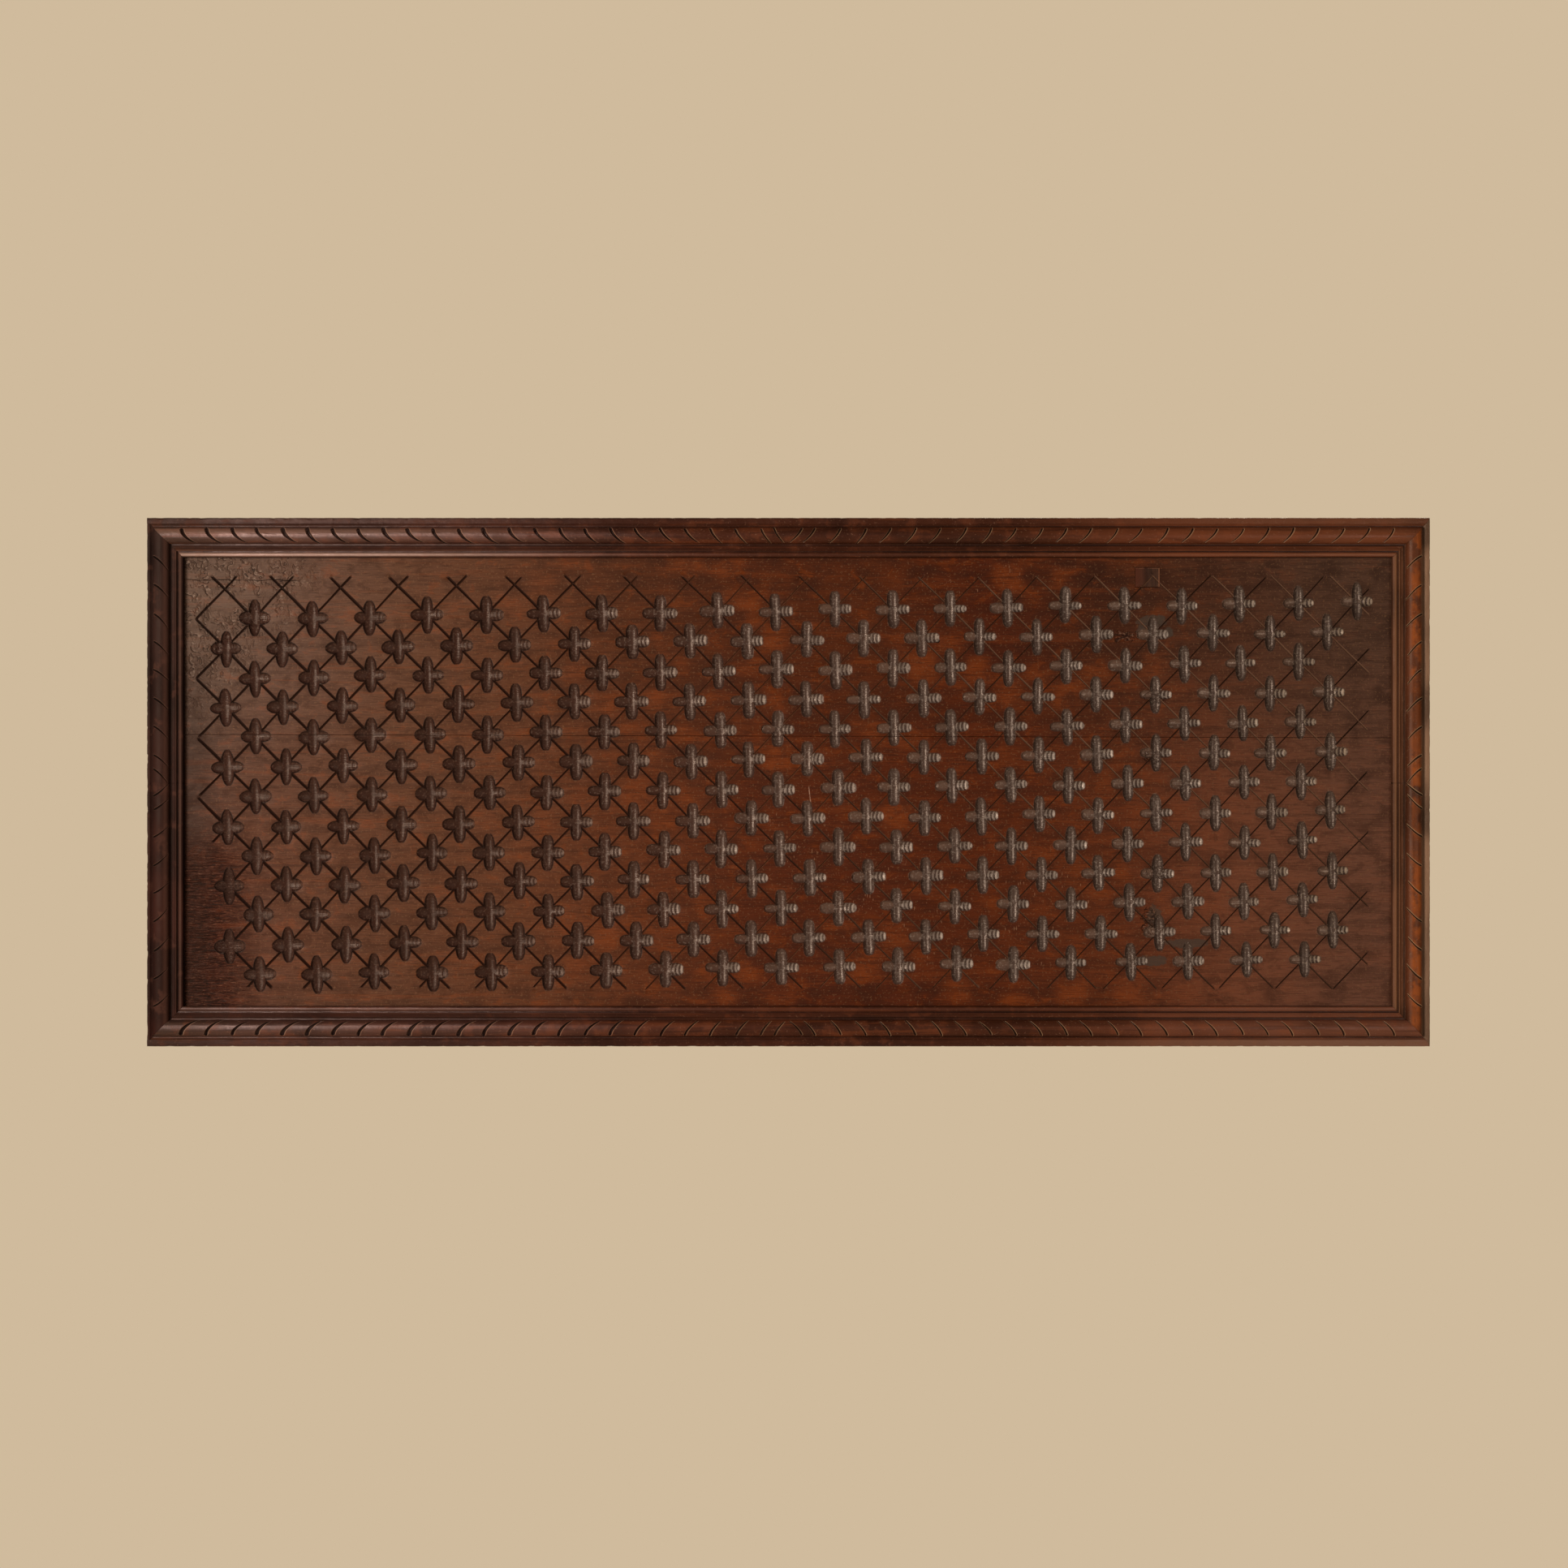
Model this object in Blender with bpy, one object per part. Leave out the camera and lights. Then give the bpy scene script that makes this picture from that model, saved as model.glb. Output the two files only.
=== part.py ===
# Carved wooden wall panel.
# Two wide boards carry a lattice of gouge-cut crosses. They sit in the rebate of a mitred
# frame whose big bead is nicked all round with curved gouge cuts.
# Metres, +Z up. The front faces -Y, every back lies at y = 0, and the origin is the
# middle of the back.

import math

import bmesh
import bpy
from mathutils import Vector, geometry

# Overall size
PANEL_WIDTH = 2.000
PANEL_HEIGHT = 0.824
FITTING_GAP = 0.0003            # clearance between pieces that touch

# Boards of the field
BOARD_THICKNESS = 0.020
BOARD_LAP = 0.008               # how far the boards reach under the moulding
JOINT_LEFT_Z = 0.0745           # height of the joint between the boards, at their left end
JOINT_RIGHT_Z = 0.0693          # and at their right end

# Frame moulding, widths from the outside in
LIP_TOP = 0.009
LIP_BOTTOM = 0.010
LIP_LEFT = 0.004
LIP_RIGHT = 0.006
COVE_WIDTH = 0.005
BEAD_WIDTH = 0.0265
QUIRK_WIDTH = 0.004
FILLET_WIDTH = 0.007
GROOVE_WIDTH = 0.002
SMALL_BEAD_WIDTH = 0.008

# Frame moulding, how far each member stands proud of the boards' face
LIP_PROUD = 0.0085
COVE_PROUD = 0.0068
BEAD_PROUD = 0.0175
QUIRK_PROUD = 0.0060
FILLET_OUTER_PROUD = 0.0085
FILLET_INNER_PROUD = 0.0110
GROOVE_PROUD = 0.0082
SMALL_BEAD_PROUD = 0.0105
INNER_EDGE_PROUD = 0.0080
BEAD_FACETS = 5

# Gouge cuts across the big bead, mirrored at the middle of each rail
CUT_PITCH_LONG = 0.0392         # on the top and bottom rails
CUT_PITCH_SHORT = 0.0440        # on the side rails
CUT_MIDDLE_GAP = 0.042          # between the two cuts nearest the middle
CUT_PAIR_GAP = 0.0215           # from each of those to its close neighbour
CUT_WIDTH = 0.0048
CUT_DEPTH = 0.0028
CUT_SWEEP = 0.0150              # how far the inner end runs towards the middle
CUT_END_MARGIN = 0.020          # clear length kept before a mitre
CUT_WANDER = 0.0012             # unevenness of the hand work
GUIDE_OVERRUN = 0.002           # profile lines pass the mitres by this and are trimmed there

# Lattice of crosses
CROSS_PITCH_ACROSS = 0.0907     # between crosses of one row
CROSS_PITCH_DOWN = 0.0929       # between crosses of one column
LATTICE_TURN = math.radians(0.84)
LATTICE_SHIFT_X = -0.0153       # middle cross from the middle of the panel
LATTICE_SHIFT_Z = -0.0108
LATTICE_SIDE_MARGIN = 0.058     # least distance from the middle of a cross to a side rail
LATTICE_END_MARGIN = 0.048      # and to the top and bottom rails
CROSS_REACH = 0.0262            # middle to the tip of an arm
CROSS_ARM_WIDTH = 0.0168
CROSS_TIP_WIDTH = 0.0088
CROSS_DEPTH = 0.0060
CROSS_WANDER = 0.0018           # unevenness of the hand work
EXTRA_TOP_CROSSES = 1           # the top row runs on by this many at its right end

# Square repair let into the upper board
PATCH_WIDTH = 0.038
PATCH_HEIGHT = 0.030
PATCH_DEPTH = 0.006
PATCH_FROM_RAIL = 0.3805        # centre of the patch from the right rail
PATCH_BELOW_RAIL = 0.0305       # and below the top rail

MOULDING_WIDTH = (COVE_WIDTH + BEAD_WIDTH + QUIRK_WIDTH + FILLET_WIDTH
                  + GROOVE_WIDTH + SMALL_BEAD_WIDTH)
HALF_GAP = FITTING_GAP / 2

# Outer rectangle of the moulding, inside the lips
LEFT = -PANEL_WIDTH / 2 + LIP_LEFT
RIGHT = PANEL_WIDTH / 2 - LIP_RIGHT
BOTTOM = -PANEL_HEIGHT / 2 + LIP_BOTTOM
TOP = PANEL_HEIGHT / 2 - LIP_TOP

# Opening inside the frame
OPENING_LEFT = LEFT + MOULDING_WIDTH
OPENING_RIGHT = RIGHT - MOULDING_WIDTH
OPENING_BOTTOM = BOTTOM + MOULDING_WIDTH
OPENING_TOP = TOP - MOULDING_WIDTH


def clear_scene():
    for thing in list(bpy.data.objects):
        bpy.data.objects.remove(thing, do_unlink=True)


def wood(name, colour, roughness):
    """Principled wood finish."""
    material = bpy.data.materials.new(name)
    material.use_nodes = True
    shader = material.node_tree.nodes["Principled BSDF"]
    shader.inputs["Base Color"].default_value = (*colour, 1.0)
    shader.inputs["Roughness"].default_value = roughness
    shader.inputs["Metallic"].default_value = 0.0
    return material


def hand(*key):
    """Steady unevenness from -1 to 1 for one place of the hand work."""
    mixed = sum(value * weight for value, weight in zip(key, (12.9898, 78.233, 37.719)))
    return 2 * ((math.sin(mixed) * 43758.5453) % 1.0) - 1


def inset(corners, depths):
    """Corners of an anticlockwise outline with the side after each corner moved inward."""
    sides = []
    for here, there, depth in zip(corners, corners[1:] + corners[:1], depths):
        along = (there - here).normalized()
        sides.append((here + Vector((-along.y, along.x)) * depth, along))
    moved = []
    for (start, along), (point, side) in zip(sides[-1:] + sides[:-1], sides):
        across = Vector((-side.y, side.x))
        moved.append(start + along * ((point - start).dot(across) / along.dot(across)))
    return moved


def carved_slab(name, outline, carving, front_at, material):
    """Closed solid with a carved front over its outline, straight sides and a flat back.

    The outline runs anticlockwise in (x, z) as the front is seen. The carving is a list of
    points, the edges between them and the heights of the points that lie below the front.
    front_at(x, z) is the height of the front above the back.
    """
    guide_points, guide_edges, sunk = carving
    first = len(outline)
    points = list(outline) + list(guide_points)
    edges = [(a + first, b + first) for a, b in guide_edges]
    face = list(range(first))
    verts, _, faces, sources, _, owners = geometry.delaunay_2d_cdt(
        points, edges, [face], 0, 1e-6)

    body = bmesh.new()
    front = {}
    corner_at = {}
    kept = [tri for tri, owner in zip(faces, owners) if owner]
    for index in sorted({corner for tri in kept for corner in tri}):
        x, z = verts[index]
        lowered = [sunk[source - first] for source in sources[index] if source - first in sunk]
        height = lowered[0] if lowered else front_at(x, z)
        front[index] = body.verts.new((x, -height, z))
        for source in sources[index]:
            if source < first:
                corner_at[index] = source
    for tri in kept:
        body.faces.new([front[corner] for corner in tri])

    # The rim runs round the outline, and each straight side of it closes with one face
    follow = {}
    directed = {(tri[i], tri[(i + 1) % 3]) for tri in kept for i in range(3)}
    for a, b in directed:
        if (b, a) not in directed:
            follow[a] = b
    back = [body.verts.new((corner.x, 0.0, corner.y)) for corner in outline]
    body.faces.new(list(reversed(back)))
    for start, corner in corner_at.items():
        chain = [start]
        while len(chain) == 1 or chain[-1] not in corner_at:
            chain.append(follow[chain[-1]])
        side = [front[index] for index in reversed(chain)]
        body.faces.new(side + [back[corner], back[(corner + 1) % first]])

    mesh = bpy.data.meshes.new(name)
    body.to_mesh(mesh)
    body.free()
    mesh.materials.append(material)
    slab = bpy.data.objects.new(name, mesh)
    bpy.context.collection.objects.link(slab)
    return slab


def box(name, low, high):
    """Plain block between two corners."""
    body = bmesh.new()
    bmesh.ops.create_cube(body, size=1.0)
    size = Vector(high) - Vector(low)
    middle = (Vector(high) + Vector(low)) / 2
    bmesh.ops.scale(body, vec=size, verts=body.verts)
    bmesh.ops.translate(body, vec=middle, verts=body.verts)
    mesh = bpy.data.meshes.new(name)
    body.to_mesh(mesh)
    body.free()
    block = bpy.data.objects.new(name, mesh)
    bpy.context.collection.objects.link(block)
    return block


def cutter(name, low, high):
    """Block that only cuts other pieces."""
    block = box(name, low, high)
    block.hide_render = True
    block.display_type = "WIRE"
    return block


def cut(piece, tool):
    modifier = piece.modifiers.new("cut_" + tool.name, "BOOLEAN")
    modifier.operation = "DIFFERENCE"
    modifier.solver = "EXACT"
    modifier.object = tool


def bead_lines():
    """Places across the moulding and heights of the faceted big bead."""
    lines = []
    for k in range(BEAD_FACETS + 1):
        angle = math.pi * k / BEAD_FACETS
        foot = COVE_PROUD + (QUIRK_PROUD - COVE_PROUD) * k / BEAD_FACETS
        crown = math.sin(math.pi * (BEAD_FACETS // 2) / BEAD_FACETS)
        across = COVE_WIDTH + BEAD_WIDTH / 2 * (1 - math.cos(angle))
        lines.append((across, foot + (BEAD_PROUD - foot) * math.sin(angle) / crown))
    return lines


def moulding_profile():
    """Moulding as (distance in from its outer line, height over the boards' face)."""
    quirk = COVE_WIDTH + BEAD_WIDTH
    fillet = quirk + QUIRK_WIDTH
    groove = fillet + FILLET_WIDTH
    small = groove + GROOVE_WIDTH
    profile = [(0.0, LIP_PROUD), (COVE_WIDTH / 2, COVE_PROUD)]
    profile += bead_lines()
    profile.append((quirk + QUIRK_WIDTH / 2, QUIRK_PROUD))
    profile.append((fillet, FILLET_OUTER_PROUD))
    profile.append((groove, FILLET_INNER_PROUD))
    profile.append((groove + GROOVE_WIDTH / 2, GROOVE_PROUD))
    profile.append((small, INNER_EDGE_PROUD))
    profile.append((small + SMALL_BEAD_WIDTH / 3, SMALL_BEAD_PROUD))
    profile.append((small + SMALL_BEAD_WIDTH * 2 / 3, SMALL_BEAD_PROUD))
    profile.append((small + SMALL_BEAD_WIDTH, INNER_EDGE_PROUD))
    return profile


PROFILE = moulding_profile()


def moulding_height(across):
    """Height of the moulding above the back, at a distance in from its outer line."""
    if across <= 0:
        return BOARD_THICKNESS + LIP_PROUD
    for (u0, h0), (u1, h1) in zip(PROFILE, PROFILE[1:]):
        if across <= u1:
            return BOARD_THICKNESS + h0 + (h1 - h0) * (across - u0) / (u1 - u0)
    return BOARD_THICKNESS + PROFILE[-1][1]


def cut_places(low, high, pitch, rail_number):
    """Where the cuts of one rail start, with the way they sweep."""
    middle = (low + high) / 2
    places = []
    for way in (1, -1):
        reach = (high - low) / 2 - CUT_END_MARGIN
        distance = CUT_MIDDLE_GAP / 2
        step = 0
        while distance < reach:
            uneven = CUT_WANDER * hand(step, way, rail_number)
            places.append((middle + way * (distance + uneven), -way))
            distance += CUT_PAIR_GAP if step == 0 else pitch
            step += 1
    return places


def gouge_cuts(places):
    """Points, edges and sunk heights of the crescent cuts, as (along, across) points."""
    lines = bead_lines()[1:-1]
    points = []
    edges = []
    sunk = {}
    for along, way in places:
        outer = lines[0][0]
        span = lines[-1][0] - outer
        rows = []
        for across, proud in lines:
            bend = CUT_SWEEP * (1 - math.cos((across - outer) / span * math.pi / 2))
            middle = along + way * bend
            is_tip = across in (lines[0][0], lines[-1][0])
            row = []
            for side in [0] if is_tip else [-1, 0, 1]:
                place = middle + side * CUT_WIDTH / 2
                row.append(len(points))
                points.append((place, across))
            if len(row) == 3:
                sunk[row[1]] = BOARD_THICKNESS + proud - CUT_DEPTH
            rows.append(row)
        for near, far in zip(rows, rows[1:]):
            for k in range(3):
                edges.append((near[min(k, len(near) - 1)], far[min(k, len(far) - 1)]))
    return points, edges, sunk


def rail(name, number, corners, gaps, on_plan, across_at, span, pitch, material):
    """One mitred rail with its moulding and gouge cuts.

    on_plan(along, across) places a point of the moulding in (x, z), and across_at(x, z)
    gives back its distance in from the moulding's outer line.
    """
    low, high = span
    places = cut_places(low + COVE_WIDTH + BEAD_WIDTH, high - COVE_WIDTH - BEAD_WIDTH,
                        pitch, number)
    cuts, edges, sunk = gouge_cuts(places)
    points = [on_plan(along, across) for along, across in cuts]
    for across, _ in PROFILE[:-1]:
        edges.append((len(points), len(points) + 1))
        points.append(on_plan(low + across - GUIDE_OVERRUN, across))
        points.append(on_plan(high - across + GUIDE_OVERRUN, across))
    outline = inset([Vector(corner) for corner in corners], gaps)

    def front_at(x, z):
        return moulding_height(across_at(x, z))

    return carved_slab(name, outline, (points, edges, sunk), front_at, material)


def frame(material):
    """Four rails, mitred through the moulding, with a rebate behind for the boards."""
    half_width = PANEL_WIDTH / 2
    half_height = PANEL_HEIGHT / 2
    gap = HALF_GAP
    rails = [
        # The top and bottom lips run on over the ends of the left rail
        rail("rail_top", 1,
             [(OPENING_LEFT, OPENING_TOP), (OPENING_RIGHT, OPENING_TOP), (RIGHT, TOP),
              (half_width, half_height), (-half_width, half_height), (-half_width, TOP),
              (LEFT, TOP)],
             [0, gap, gap, 0, 0, gap, gap],
             lambda along, across: Vector((along, TOP - across)),
             lambda x, z: TOP - z,
             (LEFT, RIGHT), CUT_PITCH_LONG, material),
        rail("rail_bottom", 2,
             [(OPENING_RIGHT, OPENING_BOTTOM), (OPENING_LEFT, OPENING_BOTTOM), (LEFT, BOTTOM),
              (-half_width, BOTTOM), (-half_width, -half_height), (half_width, -half_height),
              (RIGHT, BOTTOM)],
             [0, gap, gap, 0, 0, gap, gap],
             lambda along, across: Vector((along, BOTTOM + across)),
             lambda x, z: z - BOTTOM,
             (LEFT, RIGHT), CUT_PITCH_LONG, material),
        rail("rail_left", 3,
             [(OPENING_LEFT, OPENING_BOTTOM), (OPENING_LEFT, OPENING_TOP), (LEFT, TOP),
              (-half_width, TOP), (-half_width, BOTTOM), (LEFT, BOTTOM)],
             [0, gap, gap, 0, gap, gap],
             lambda along, across: Vector((LEFT + across, along)),
             lambda x, z: x - LEFT,
             (BOTTOM, TOP), CUT_PITCH_SHORT, material),
        rail("rail_right", 4,
             [(OPENING_RIGHT, OPENING_TOP), (OPENING_RIGHT, OPENING_BOTTOM), (RIGHT, BOTTOM),
              (half_width, -half_height), (half_width, half_height), (RIGHT, TOP)],
             [0, gap, gap, 0, gap, gap],
             lambda along, across: Vector((RIGHT - across, along)),
             lambda x, z: RIGHT - x,
             (BOTTOM, TOP), CUT_PITCH_SHORT, material),
    ]
    side = BOARD_LAP + FITTING_GAP
    rebate = cutter("rebate_cutter",
                    (OPENING_LEFT - side, -BOARD_THICKNESS - FITTING_GAP, OPENING_BOTTOM - side),
                    (OPENING_RIGHT + side, BOARD_THICKNESS, OPENING_TOP + side))
    for piece in rails:
        cut(piece, rebate)
    return rails


def crosses():
    """Every cross as its middle and its twelve rim points, anticlockwise."""
    half_across = CROSS_PITCH_ACROSS / 2
    half_down = CROSS_PITCH_DOWN / 2
    right = Vector((math.cos(LATTICE_TURN), math.sin(LATTICE_TURN)))
    up = Vector((-math.sin(LATTICE_TURN), math.cos(LATTICE_TURN)))
    columns = int(((OPENING_RIGHT - OPENING_LEFT) / 2 - LATTICE_SIDE_MARGIN) / half_across)
    rows = int(((OPENING_TOP - OPENING_BOTTOM) / 2 - LATTICE_END_MARGIN) / half_down)
    middle = Vector((LATTICE_SHIFT_X, LATTICE_SHIFT_Z))
    places = [(column, row) for row in range(-rows, rows + 1)
              for column in range(-columns, columns + 1) if (column + row) % 2 == 0]
    last = max(column for column, row in places if row == rows)
    places += [(last + 2 * (k + 1), rows) for k in range(EXTRA_TOP_CROSSES)]

    found = []
    for column, row in places:
        centre = middle + right * (column * half_across) + up * (row * half_down)
        centre += Vector((hand(column, row, 1), hand(column, row, 2))) * CROSS_WANDER
        rim = []
        for arm in range(4):
            turn = LATTICE_TURN + arm * math.pi / 2
            out = Vector((math.cos(turn), math.sin(turn)))
            beside = Vector((-out.y, out.x))
            tip = out * (CROSS_REACH + CROSS_WANDER * hand(column, row, 3 + arm))
            rim.append(centre + tip - beside * (CROSS_TIP_WIDTH / 2))
            rim.append(centre + tip + beside * (CROSS_TIP_WIDTH / 2))
            rim.append(centre + (out + beside) * (CROSS_ARM_WIDTH / 2))
        found.append((centre, rim))
    return found


def pit_depth(point, centre, rim):
    """Depth of one cross at a point: full at its middle, nothing at its rim."""
    offset = point - centre
    for near, far in zip(rim, rim[1:] + rim[:1]):
        a = near - centre
        b = far - centre
        area = a.x * b.y - a.y * b.x
        toward_a = (offset.x * b.y - offset.y * b.x) / area
        toward_b = (a.x * offset.y - a.y * offset.x) / area
        if toward_a >= -1e-6 and toward_b >= -1e-6:
            return CROSS_DEPTH * max(0.0, 1 - toward_a - toward_b)
    return 0.0


def field_board(name, outline, all_crosses, material):
    """One board of the field, with the crosses, or the part of them, that it carries."""
    reach = CROSS_REACH + CROSS_WANDER + CROSS_TIP_WIDTH
    low = min(corner.y for corner in outline) - reach
    high = max(corner.y for corner in outline) + reach
    held = [(centre, rim) for centre, rim in all_crosses if low < centre.y < high]
    points = []
    edges = []
    for centre, rim in held:
        first = len(points)
        count = len(rim)
        points += rim + [centre]
        edges += [(first + k, first + (k + 1) % count) for k in range(count)]
        edges += [(first + count, first + k) for k in range(count)]

    def front_at(x, z):
        point = Vector((x, z))
        near = [cross for cross in held if (cross[0] - point).length < reach]
        sunk = max([pit_depth(point, *cross) for cross in near], default=0.0)
        return BOARD_THICKNESS - sunk

    return carved_slab(name, outline, (points, edges, {}), front_at, material)


def field(material):
    """The two boards, meeting at the joint, and the pocket for the patch."""
    low_x = OPENING_LEFT - BOARD_LAP
    high_x = OPENING_RIGHT + BOARD_LAP
    joint_left = Vector((low_x, JOINT_LEFT_Z))
    joint_right = Vector((high_x, JOINT_RIGHT_Z))
    upper = inset([joint_left, joint_right, Vector((high_x, OPENING_TOP + BOARD_LAP)),
                   Vector((low_x, OPENING_TOP + BOARD_LAP))], [HALF_GAP, 0, 0, 0])
    lower = inset([joint_right, joint_left, Vector((low_x, OPENING_BOTTOM - BOARD_LAP)),
                   Vector((high_x, OPENING_BOTTOM - BOARD_LAP))], [HALF_GAP, 0, 0, 0])
    all_crosses = crosses()
    upper_board = field_board("field_board_upper", upper, all_crosses, material)
    lower_board = field_board("field_board_lower", lower, all_crosses, material)
    return upper_board, lower_board


def square_patch(board, material):
    """Small block of wood let into the face of a board."""
    x = OPENING_RIGHT - PATCH_FROM_RAIL
    z = OPENING_TOP - PATCH_BELOW_RAIL
    face = -BOARD_THICKNESS
    low = Vector((x - PATCH_WIDTH / 2, face, z - PATCH_HEIGHT / 2))
    high = Vector((x + PATCH_WIDTH / 2, face + PATCH_DEPTH, z + PATCH_HEIGHT / 2))
    gap = Vector((FITTING_GAP, FITTING_GAP, FITTING_GAP))
    pocket = cutter("pocket_cutter", low - gap - Vector((0, PATCH_DEPTH, 0)), high + gap)
    cut(board, pocket)
    patch = box("square_patch", low, high)
    patch.data.materials.append(material)
    return patch


def main():
    clear_scene()
    frame(wood("frame_wood", (0.105, 0.040, 0.022), 0.38))
    upper_board, _ = field(wood("field_wood", (0.150, 0.050, 0.026), 0.42))
    square_patch(upper_board, wood("patch_wood", (0.130, 0.062, 0.038), 0.50))


main()
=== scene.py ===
# Looks of the carved wall panel: two carved boards, a small patch and four moulded rails.
# Metres, +Z up, in the solids' own frame: the front faces -Y and every back lies at y = 0.
# Heights are counted forwards from the backs, so a height h lies at y = -h.

import math

import bmesh
import bpy
import numpy as np
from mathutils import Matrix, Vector, geometry


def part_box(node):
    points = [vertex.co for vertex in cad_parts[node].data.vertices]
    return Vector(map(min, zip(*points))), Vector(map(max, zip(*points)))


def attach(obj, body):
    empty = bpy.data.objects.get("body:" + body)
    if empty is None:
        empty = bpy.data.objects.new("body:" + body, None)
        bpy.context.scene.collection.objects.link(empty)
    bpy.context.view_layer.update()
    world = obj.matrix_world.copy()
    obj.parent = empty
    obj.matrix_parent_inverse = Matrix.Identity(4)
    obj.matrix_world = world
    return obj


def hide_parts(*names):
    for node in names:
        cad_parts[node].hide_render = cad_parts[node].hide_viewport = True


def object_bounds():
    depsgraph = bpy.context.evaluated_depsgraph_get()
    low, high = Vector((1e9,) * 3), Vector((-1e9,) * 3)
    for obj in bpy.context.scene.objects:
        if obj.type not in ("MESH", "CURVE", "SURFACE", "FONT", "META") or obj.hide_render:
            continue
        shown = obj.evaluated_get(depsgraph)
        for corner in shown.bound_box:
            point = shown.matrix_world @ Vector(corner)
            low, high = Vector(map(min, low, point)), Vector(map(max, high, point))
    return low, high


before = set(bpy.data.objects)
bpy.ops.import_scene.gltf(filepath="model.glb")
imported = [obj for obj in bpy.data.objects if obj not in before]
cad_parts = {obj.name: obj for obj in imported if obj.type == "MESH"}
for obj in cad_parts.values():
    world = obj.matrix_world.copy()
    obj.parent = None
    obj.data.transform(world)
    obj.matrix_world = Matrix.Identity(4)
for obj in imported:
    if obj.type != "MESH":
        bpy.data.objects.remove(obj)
cad_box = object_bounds()

# Sizes shared with the solids
FITTING_GAP = 0.0003
HALF_GAP = FITTING_GAP / 2
BOARD_THICKNESS = 0.020
BOARD_LAP = 0.008
JOINT_LEFT_Z = 0.0745
JOINT_RIGHT_Z = 0.0693
COVE_WIDTH = 0.005
BEAD_WIDTH = 0.0265
QUIRK_WIDTH = 0.004
FILLET_WIDTH = 0.007
GROOVE_WIDTH = 0.002
SMALL_BEAD_WIDTH = 0.008
MOULDING_WIDTH = (COVE_WIDTH + BEAD_WIDTH + QUIRK_WIDTH + FILLET_WIDTH
                  + GROOVE_WIDTH + SMALL_BEAD_WIDTH)
LIP_PROUD = 0.0085
COVE_PROUD = 0.0066
BEAD_PROUD = 0.0175
QUIRK_PROUD = 0.0058
FILLET_OUTER_PROUD = 0.0083
FILLET_INNER_PROUD = 0.0110
GROOVE_PROUD = 0.0080
SMALL_BEAD_PROUD = 0.0105
INNER_EDGE_PROUD = 0.0078

CUT_PITCH_LONG = 0.0392
CUT_PITCH_SHORT = 0.0440
CUT_MIDDLE_GAP = 0.042
CUT_PAIR_GAP = 0.0215
CUT_END_MARGIN = 0.020
CUT_WANDER = 0.0012

CROSS_PITCH_ACROSS = 0.0907
CROSS_PITCH_DOWN = 0.0929
HALF_ACROSS = CROSS_PITCH_ACROSS / 2
HALF_DOWN = CROSS_PITCH_DOWN / 2
LATTICE_TURN = math.radians(0.84)
LATTICE_SHIFT = np.array([-0.0153, -0.0108])
LATTICE_SIDE_MARGIN = 0.058
LATTICE_END_MARGIN = 0.048
CROSS_REACH = 0.0262
CROSS_WANDER = 0.0018
EXTRA_TOP_CROSSES = 1

PATCH_DEPTH = 0.006

# Places read from the solids
PANEL_LOW, PANEL_HIGH = (Vector(corner) for corner in cad_box)
OPENING_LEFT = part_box("rail_left")[1].x
OPENING_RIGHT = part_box("rail_right")[0].x
OPENING_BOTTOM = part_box("rail_bottom")[1].z
OPENING_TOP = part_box("rail_top")[0].z
LEFT = OPENING_LEFT - MOULDING_WIDTH
RIGHT = OPENING_RIGHT + MOULDING_WIDTH
BOTTOM = OPENING_BOTTOM - MOULDING_WIDTH
TOP = OPENING_TOP + MOULDING_WIDTH

# Carving of the crosses
# Each triple holds the value at these places from left to right
PANEL_PLACES = (-0.72, 0.0, 0.72)
CANOE_HALF_WIDTH = (0.0099, 0.0085, 0.0085)
CANOE_POWER = (2.7, 6.0, 3.0)
CANOE_ROOT = (0.60, 0.50, 0.54)
LEFT_HALF_WIDTH = (0.0097, 0.0074, 0.0080)
RIGHT_HALF_WIDTH = (0.0095, 0.0079, 0.0066)
RIGHT_BLUNT = (2.2, 5.0, 4.0)
LEFT_BLUNT = (2.2, 4.0, 2.4)
TIP_ROOT = (0.72, 0.50, 0.50)
RIPPLE_SHARE = (0.45, 1.1, 1.2)
LEVEL_REACH = (-0.0012, 0.0010, -0.0010)
UPRIGHT_REACH = 0.0028
CROSS_LEAN = math.radians(2.0)
CANOE_DEPTH = 0.0058
PETAL_DEPTH = 0.0048
CANOE_UNEVEN = 0.07
HAND_UNEVEN = 0.10
FLOOR_POWER = 2.4
FLOOR_ROOT = 0.6
RIGHT_FLOOR_SLOPE = 0.50
LEFT_FLOOR_SLOPE = 0.40
PETAL_SWELL = 0.20
PETAL_SWELL_END = 0.6
# Stretches of a hollow as their start and length, in shares of its reach or width
PETAL_FALL = (0.42, 0.58)
FLOOR_RISE = (0.70, 0.30)
RIM_WALL = (0.50, 0.50)
HOLLOW_ROUND = 2.4
RIM_EASE_WIDTH = 0.0014
RIM_EASE_DEPTH = 0.00045
RIM_ROUND = 1.4
RIPPLE_PITCH = 0.0060
RIPPLE_DEPTH = 0.00150
RIPPLE_BEND = 30
RIPPLE_START = 0.30
RIPPLE_FULL = 0.45
CREST_POWER = 0.9
CANOE_RIPPLE_PITCH = 0.0052
CANOE_RIPPLE = 0.35
LEFT_RIPPLE = 0.25
FURTHEST_REACH = CROSS_REACH + CROSS_WANDER + UPRIGHT_REACH + 0.002
STATION_STEP = 0.0023
# Lengthwise rows of points in a hollow, as fractions of its half width
FRACTIONS = np.array([-1, -0.9, -0.68, -0.3, 0.3, 0.68, 0.9, 1])
MEETING_PLACES = np.linspace(0.001, 0.016, 76)
MEETING_FALLBACK = 40
THINNEST = 1e-5
SHALLOWEST = 1e-4

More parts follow.
